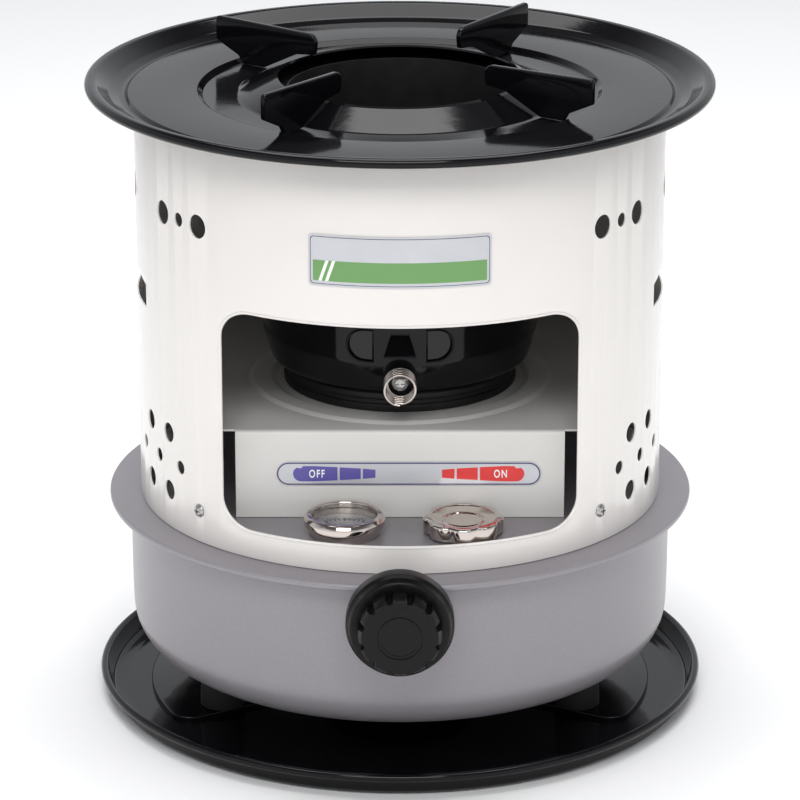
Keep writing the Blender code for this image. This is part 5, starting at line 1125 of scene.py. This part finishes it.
def control_plate():
    """Silver oblong on the apron, with tapering blocks for OFF and ON and a dark border line."""
    face, behind = CONTROL_LOW.y, CONTROL_HIGH.y
    across, height = [(low + high) / 2 for low, high in ((CONTROL_LOW.x, CONTROL_HIGH.x),
                                                         (CONTROL_LOW.z, CONTROL_HIGH.z))]
    half_long, half_tall = (CONTROL_HIGH.x - CONTROL_LOW.x) / 2, (CONTROL_HIGH.z - CONTROL_LOW.z) / 2
    navy = ink("navy_border_ink", "2A2560")
    violet = ink("violet_off_ink", "584EA0")
    red = ink("red_on_ink", "E12A28")
    white = ink("white_letter_ink", "F4F4F2")

    def on_plate(name, outline, look, lift, thick=PRINT_THICKNESS):
        """Prints an outline on the plate's face."""
        place = at(across, face - lift, height) @ ABOUT_Y
        make(name, pushed(outline, thick, place), look, "stove")

    back = at(across, behind, height) @ ABOUT_Y
    make("control_plate_foil", pushed(oblong(half_long, half_tall), behind - face, back, 0.0001, 1),
         FOIL, "stove", ["control_plate"])
    on_plate("control_border", oblong(half_long - BORDER_INSET, half_tall - BORDER_INSET), navy, 0,
             FILM)
    on_plate("control_field", oblong(half_long - FIELD_INSET, half_tall - FIELD_INSET), FOIL, FILM,
             FILM)
    tip, big = BLOCK_TIP, BLOCK_HALF
    turns = [pi / 2 - pi * step / NOSE_STEPS for step in range(NOSE_STEPS + 1)]
    nose = [(tip - big + big * cos(turn), big * sin(turn)) for turn in turns[NOSE_START:]]
    bite = [(tip - inset, big - drop) for inset, drop in BLOCK_BITE]
    broad = BLOCK_START + BLOCK_SPREAD
    block_outline = [(BLOCK_START, big * BLOCK_NARROWING), (broad, big), *bite, *nose, (broad, -big),
                     (BLOCK_START, -big * BLOCK_NARROWING)]
    along, lift, drop = CONTROL_LETTERS
    for side, look, words in ((-1, violet, "OFF"), (1, red, "ON")):
        key = words.lower()
        on_plate(f"{key}_block", [(side * x, z) for x, z in block_outline], look, PRINT_THICKNESS)
        for number, (near, far, tall) in enumerate(STEP_BLOCKS):
            outline = [(near, tall - STEP_SLANT), (far, tall), (far, -tall), (near, STEP_SLANT - tall)]
            on_plate(f"{key}_step_{number}", [(side * x, z) for x, z in outline], look,
                     PRINT_THICKNESS)
        narrow = ABOUT_Y @ Matrix.Diagonal((LETTER_NARROWING, 1, 1, 1))
        plain_text(f"{key}_letters", words, CONTROL_LETTER_SIZE,
                   (across + side * along, face - lift, height + drop), narrow, white,
                   CONTROL_LETTER_SPACING)


# Rating label
RATING_HALF = radians(19)
RATING_CORNER = 0.0018
RATING_THICKNESS = 0.0003
RATING_BORDER = 0.0009
RATING_FIELD = 0.0013
RATING_EDGE = 0.0024
BEND_STEP = 0.002
BEND_START = 0.0007
BEND_CUTS = 24
BAND_TOP_SHARE = 0.50
BAND_LOW_SHARE = 0.10
STRIPE_START = 0.0028
STRIPE_STEP = 0.0034
STRIPE_WIDTH = 0.0017
STRIPE_LEAN_SHARE = 0.35


def rating_plate():
    """Silver label with a green lower band and two pale slanted stripes, left without words."""
    radius = SHELL_HIGH.y + GAP
    low, high = RATING_LOW.z, RATING_HIGH.z
    width, tall = radius * RATING_HALF, high - low
    green = ink("green_band_ink", "6A9B5A")
    white = ink("white_stripe_ink", "EEF2EA")
    navy = ink("dark_border_ink", "4A5560")

    def curved(name, outline, look, lift, thick, stands_for=()):
        """Bends a flat (arc length, height) outline round the shell."""
        dense = []
        for here, there in zip(outline, outline[1:] + outline[:1]):
            count = max(1, ceil(abs(there[0] - here[0]) / BEND_STEP))
            dense += [(here[0] + (there[0] - here[0]) * step / count,
                       here[1] + (there[1] - here[1]) * step / count) for step in range(count)]
        shape = bmesh.new()
        shape.faces.new([shape.verts.new((x, 0, z)) for x, z in dense])
        for cut in range(-BEND_CUTS, BEND_CUTS + 1):
            bmesh.ops.bisect_plane(shape, geom=shape.verts[:] + shape.edges[:] + shape.faces[:],
                                   plane_co=(cut * BEND_STEP + BEND_START, 0, 0), plane_no=(1, 0, 0))
        grown = bmesh.ops.extrude_face_region(shape, geom=shape.faces[:])["geom"]
        front = [item for item in grown if isinstance(item, bmesh.types.BMVert)]
        bmesh.ops.translate(shape, verts=front, vec=(0, -thick, 0))
        for vert in shape.verts:
            vert.co = polar(radius + lift - vert.co.y, vert.co.x / radius, vert.co.z)
        make(name, shape, look, "stove", stands_for)

    def card(inset):
        """The label's rounded outline, drawn in by an inset."""
        x = width - inset
        return loop_of([(x, high - inset, RATING_CORNER), (x, low + inset, RATING_CORNER),
                        (-x, low + inset, RATING_CORNER), (-x, high - inset, RATING_CORNER)])

    lift = RATING_THICKNESS
    curved("rating_plate_foil", card(0), FOIL, 0, RATING_THICKNESS, ["rating_plate"])
    curved("rating_border", card(RATING_BORDER), navy, lift, FILM)
    curved("rating_field", card(RATING_FIELD), FOIL, lift + FILM, FILM)
    edge = width - RATING_EDGE
    band_high, band_low = low + tall * BAND_TOP_SHARE, low + tall * BAND_LOW_SHARE
    band = [(edge, band_high), (edge, band_low), (-edge, band_low), (-edge, band_high)]
    curved("rating_band", band, green, lift + 2 * FILM, 0.00005)
    lean = (band_high - band_low) * STRIPE_LEAN_SHARE
    for number in range(2):
        left = STRIPE_START + STRIPE_STEP * number - edge
        right = left + STRIPE_WIDTH
        stripe = [(right + lean, band_high), (right, band_low), (left, band_low),
                  (left + lean, band_high)]
        curved(f"rating_stripe_{number}", stripe, white, lift + 4 * FILM, 0.00004)


def dress(look, *nodes):
    """Gives CAD pieces that keep their own shape a material."""
    for name in nodes:
        for slot in bpy.data.objects[name].material_slots:
            slot.material = look


def carried_over():
    """Finishes for the CAD pieces that keep their own shape."""
    brackets = [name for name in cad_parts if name.startswith("shell_bracket")]
    dress(STEEL, "wick_shaft", "inner_bearing", "gauge_pivot_bracket", *brackets)
    dress(CHROME, "filler_neck")
    dress(HEATED, "inner_flame_tube", "outer_flame_tube", "flame_spreader", "burner_cross_pin",
          "draught_tube", "wick_outer_tube", "wick_carrier")
    dress(BRASS, "pinion", "shaft_bush", "gland_nut")
    dress(RUBBER, "cap_seal")
    dress(LENS, "gauge_lens")
    dress(RED_PAINT, "float_arm")
    dress(varnished_cork(), "gauge_float")
    dress(WICK_FIBRE, "wick")


# Studio; soft boxes as (name, place, target, width, depth, watts)
MIDDLE = (0, 0, 0.2)
SOFTBOXES = (("overhead_softbox", (0, 0.3, 2.4), (0, 0, 0), 2.2, 1.8, 60),
             ("high_front_softbox", (-0.1, -1.8, 1.85), MIDDLE, 1.4, 0.8, 24),
             ("left_softbox", (-1.7, -1.2, 1.0), MIDDLE, 1.0, 1.4, 1),
             ("right_softbox", (1.7, -1.2, 0.9), MIDDLE, 1.0, 1.4, 1))
FLOOR_SIZE = 9
SKY_FADE = {"From Min": 0.42, "From Max": 0.72, "To Min": 0.83, "To Max": 0.16}


def area_light(name, place, target, width, depth, power):
    """A rectangular soft box aimed at its target."""
    lamp = bpy.data.lights.new(name, "AREA")
    lamp.shape = "RECTANGLE"
    lamp.size = width
    lamp.size_y = depth
    lamp.energy = power
    lamp.color = linear("FFFFFF")[:3]
    rig = placed(name, lamp)
    aim = (Vector(target) - Vector(place)).to_track_quat("-Z", "Y")
    rig.matrix_world = Matrix.Translation(place) @ aim.to_matrix().to_4x4()


def studio():
    """The photograph's camera, a pale floor, a sky brighter below than above, and soft boxes."""
    scene = bpy.context.scene
    lens = bpy.data.cameras.new("camera")
    lens.sensor_width = SENSOR
    lens.lens = FOCAL_PIXELS / PHOTO_SIZE * SENSOR
    camera = placed("camera", lens)
    stand = at(0, -CAMERA_DISTANCE, CAMERA_HEIGHT)
    camera.matrix_world = stand @ Matrix.Rotation(pi / 2 - CAMERA_PITCH, 4, "X")
    scene.camera = camera
    shape = bmesh.new()
    bmesh.ops.create_grid(shape, x_segments=1, y_segments=1, size=FLOOR_SIZE)
    bmesh.ops.translate(shape, verts=shape.verts, vec=(0, 0, TRAY_LOW.z - GAP))
    floor_look, shader, place = finish_of("pale_studio_floor", "F4F4F4",
                                          {"Roughness": 0.9, "Specular IOR Level": 0.1})
    cloud = add(floor_look, "ShaderNodeTexNoise", {"Scale": 3.0}, Vector=(place, "Object"))
    tint(floor_look, shader, cloud, "F3F3F3", "F6F6F6")
    make("floor", shape, floor_look)
    world = bpy.data.worlds.new("studio")
    scene.world = world
    world.use_nodes = True
    background = world.node_tree.nodes["Background"]
    background.inputs["Color"].default_value = linear("F2F4F8")
    sky = add(world, "ShaderNodeTexCoord")
    split = add(world, "ShaderNodeSeparateXYZ", Vector=(sky, "Generated"))
    fade = add(world, "ShaderNodeMapRange", {"interpolation_type": "SMOOTHSTEP", **SKY_FADE},
               Value=(split, "Z"))
    world.node_tree.links.new(fade.outputs["Result"], background.inputs["Strength"])
    scene.view_settings.view_transform = "Standard"
    for softbox in SOFTBOXES:
        area_light(*softbox)


drip_tray()
feet()
tank()
outer_shell()
shell_screws()
top_plate()
pan_supports()
deck()
burner()
handle()
wick_knob()
filler_cap()
gauge()
control_plate()
rating_plate()
carried_over()
studio()
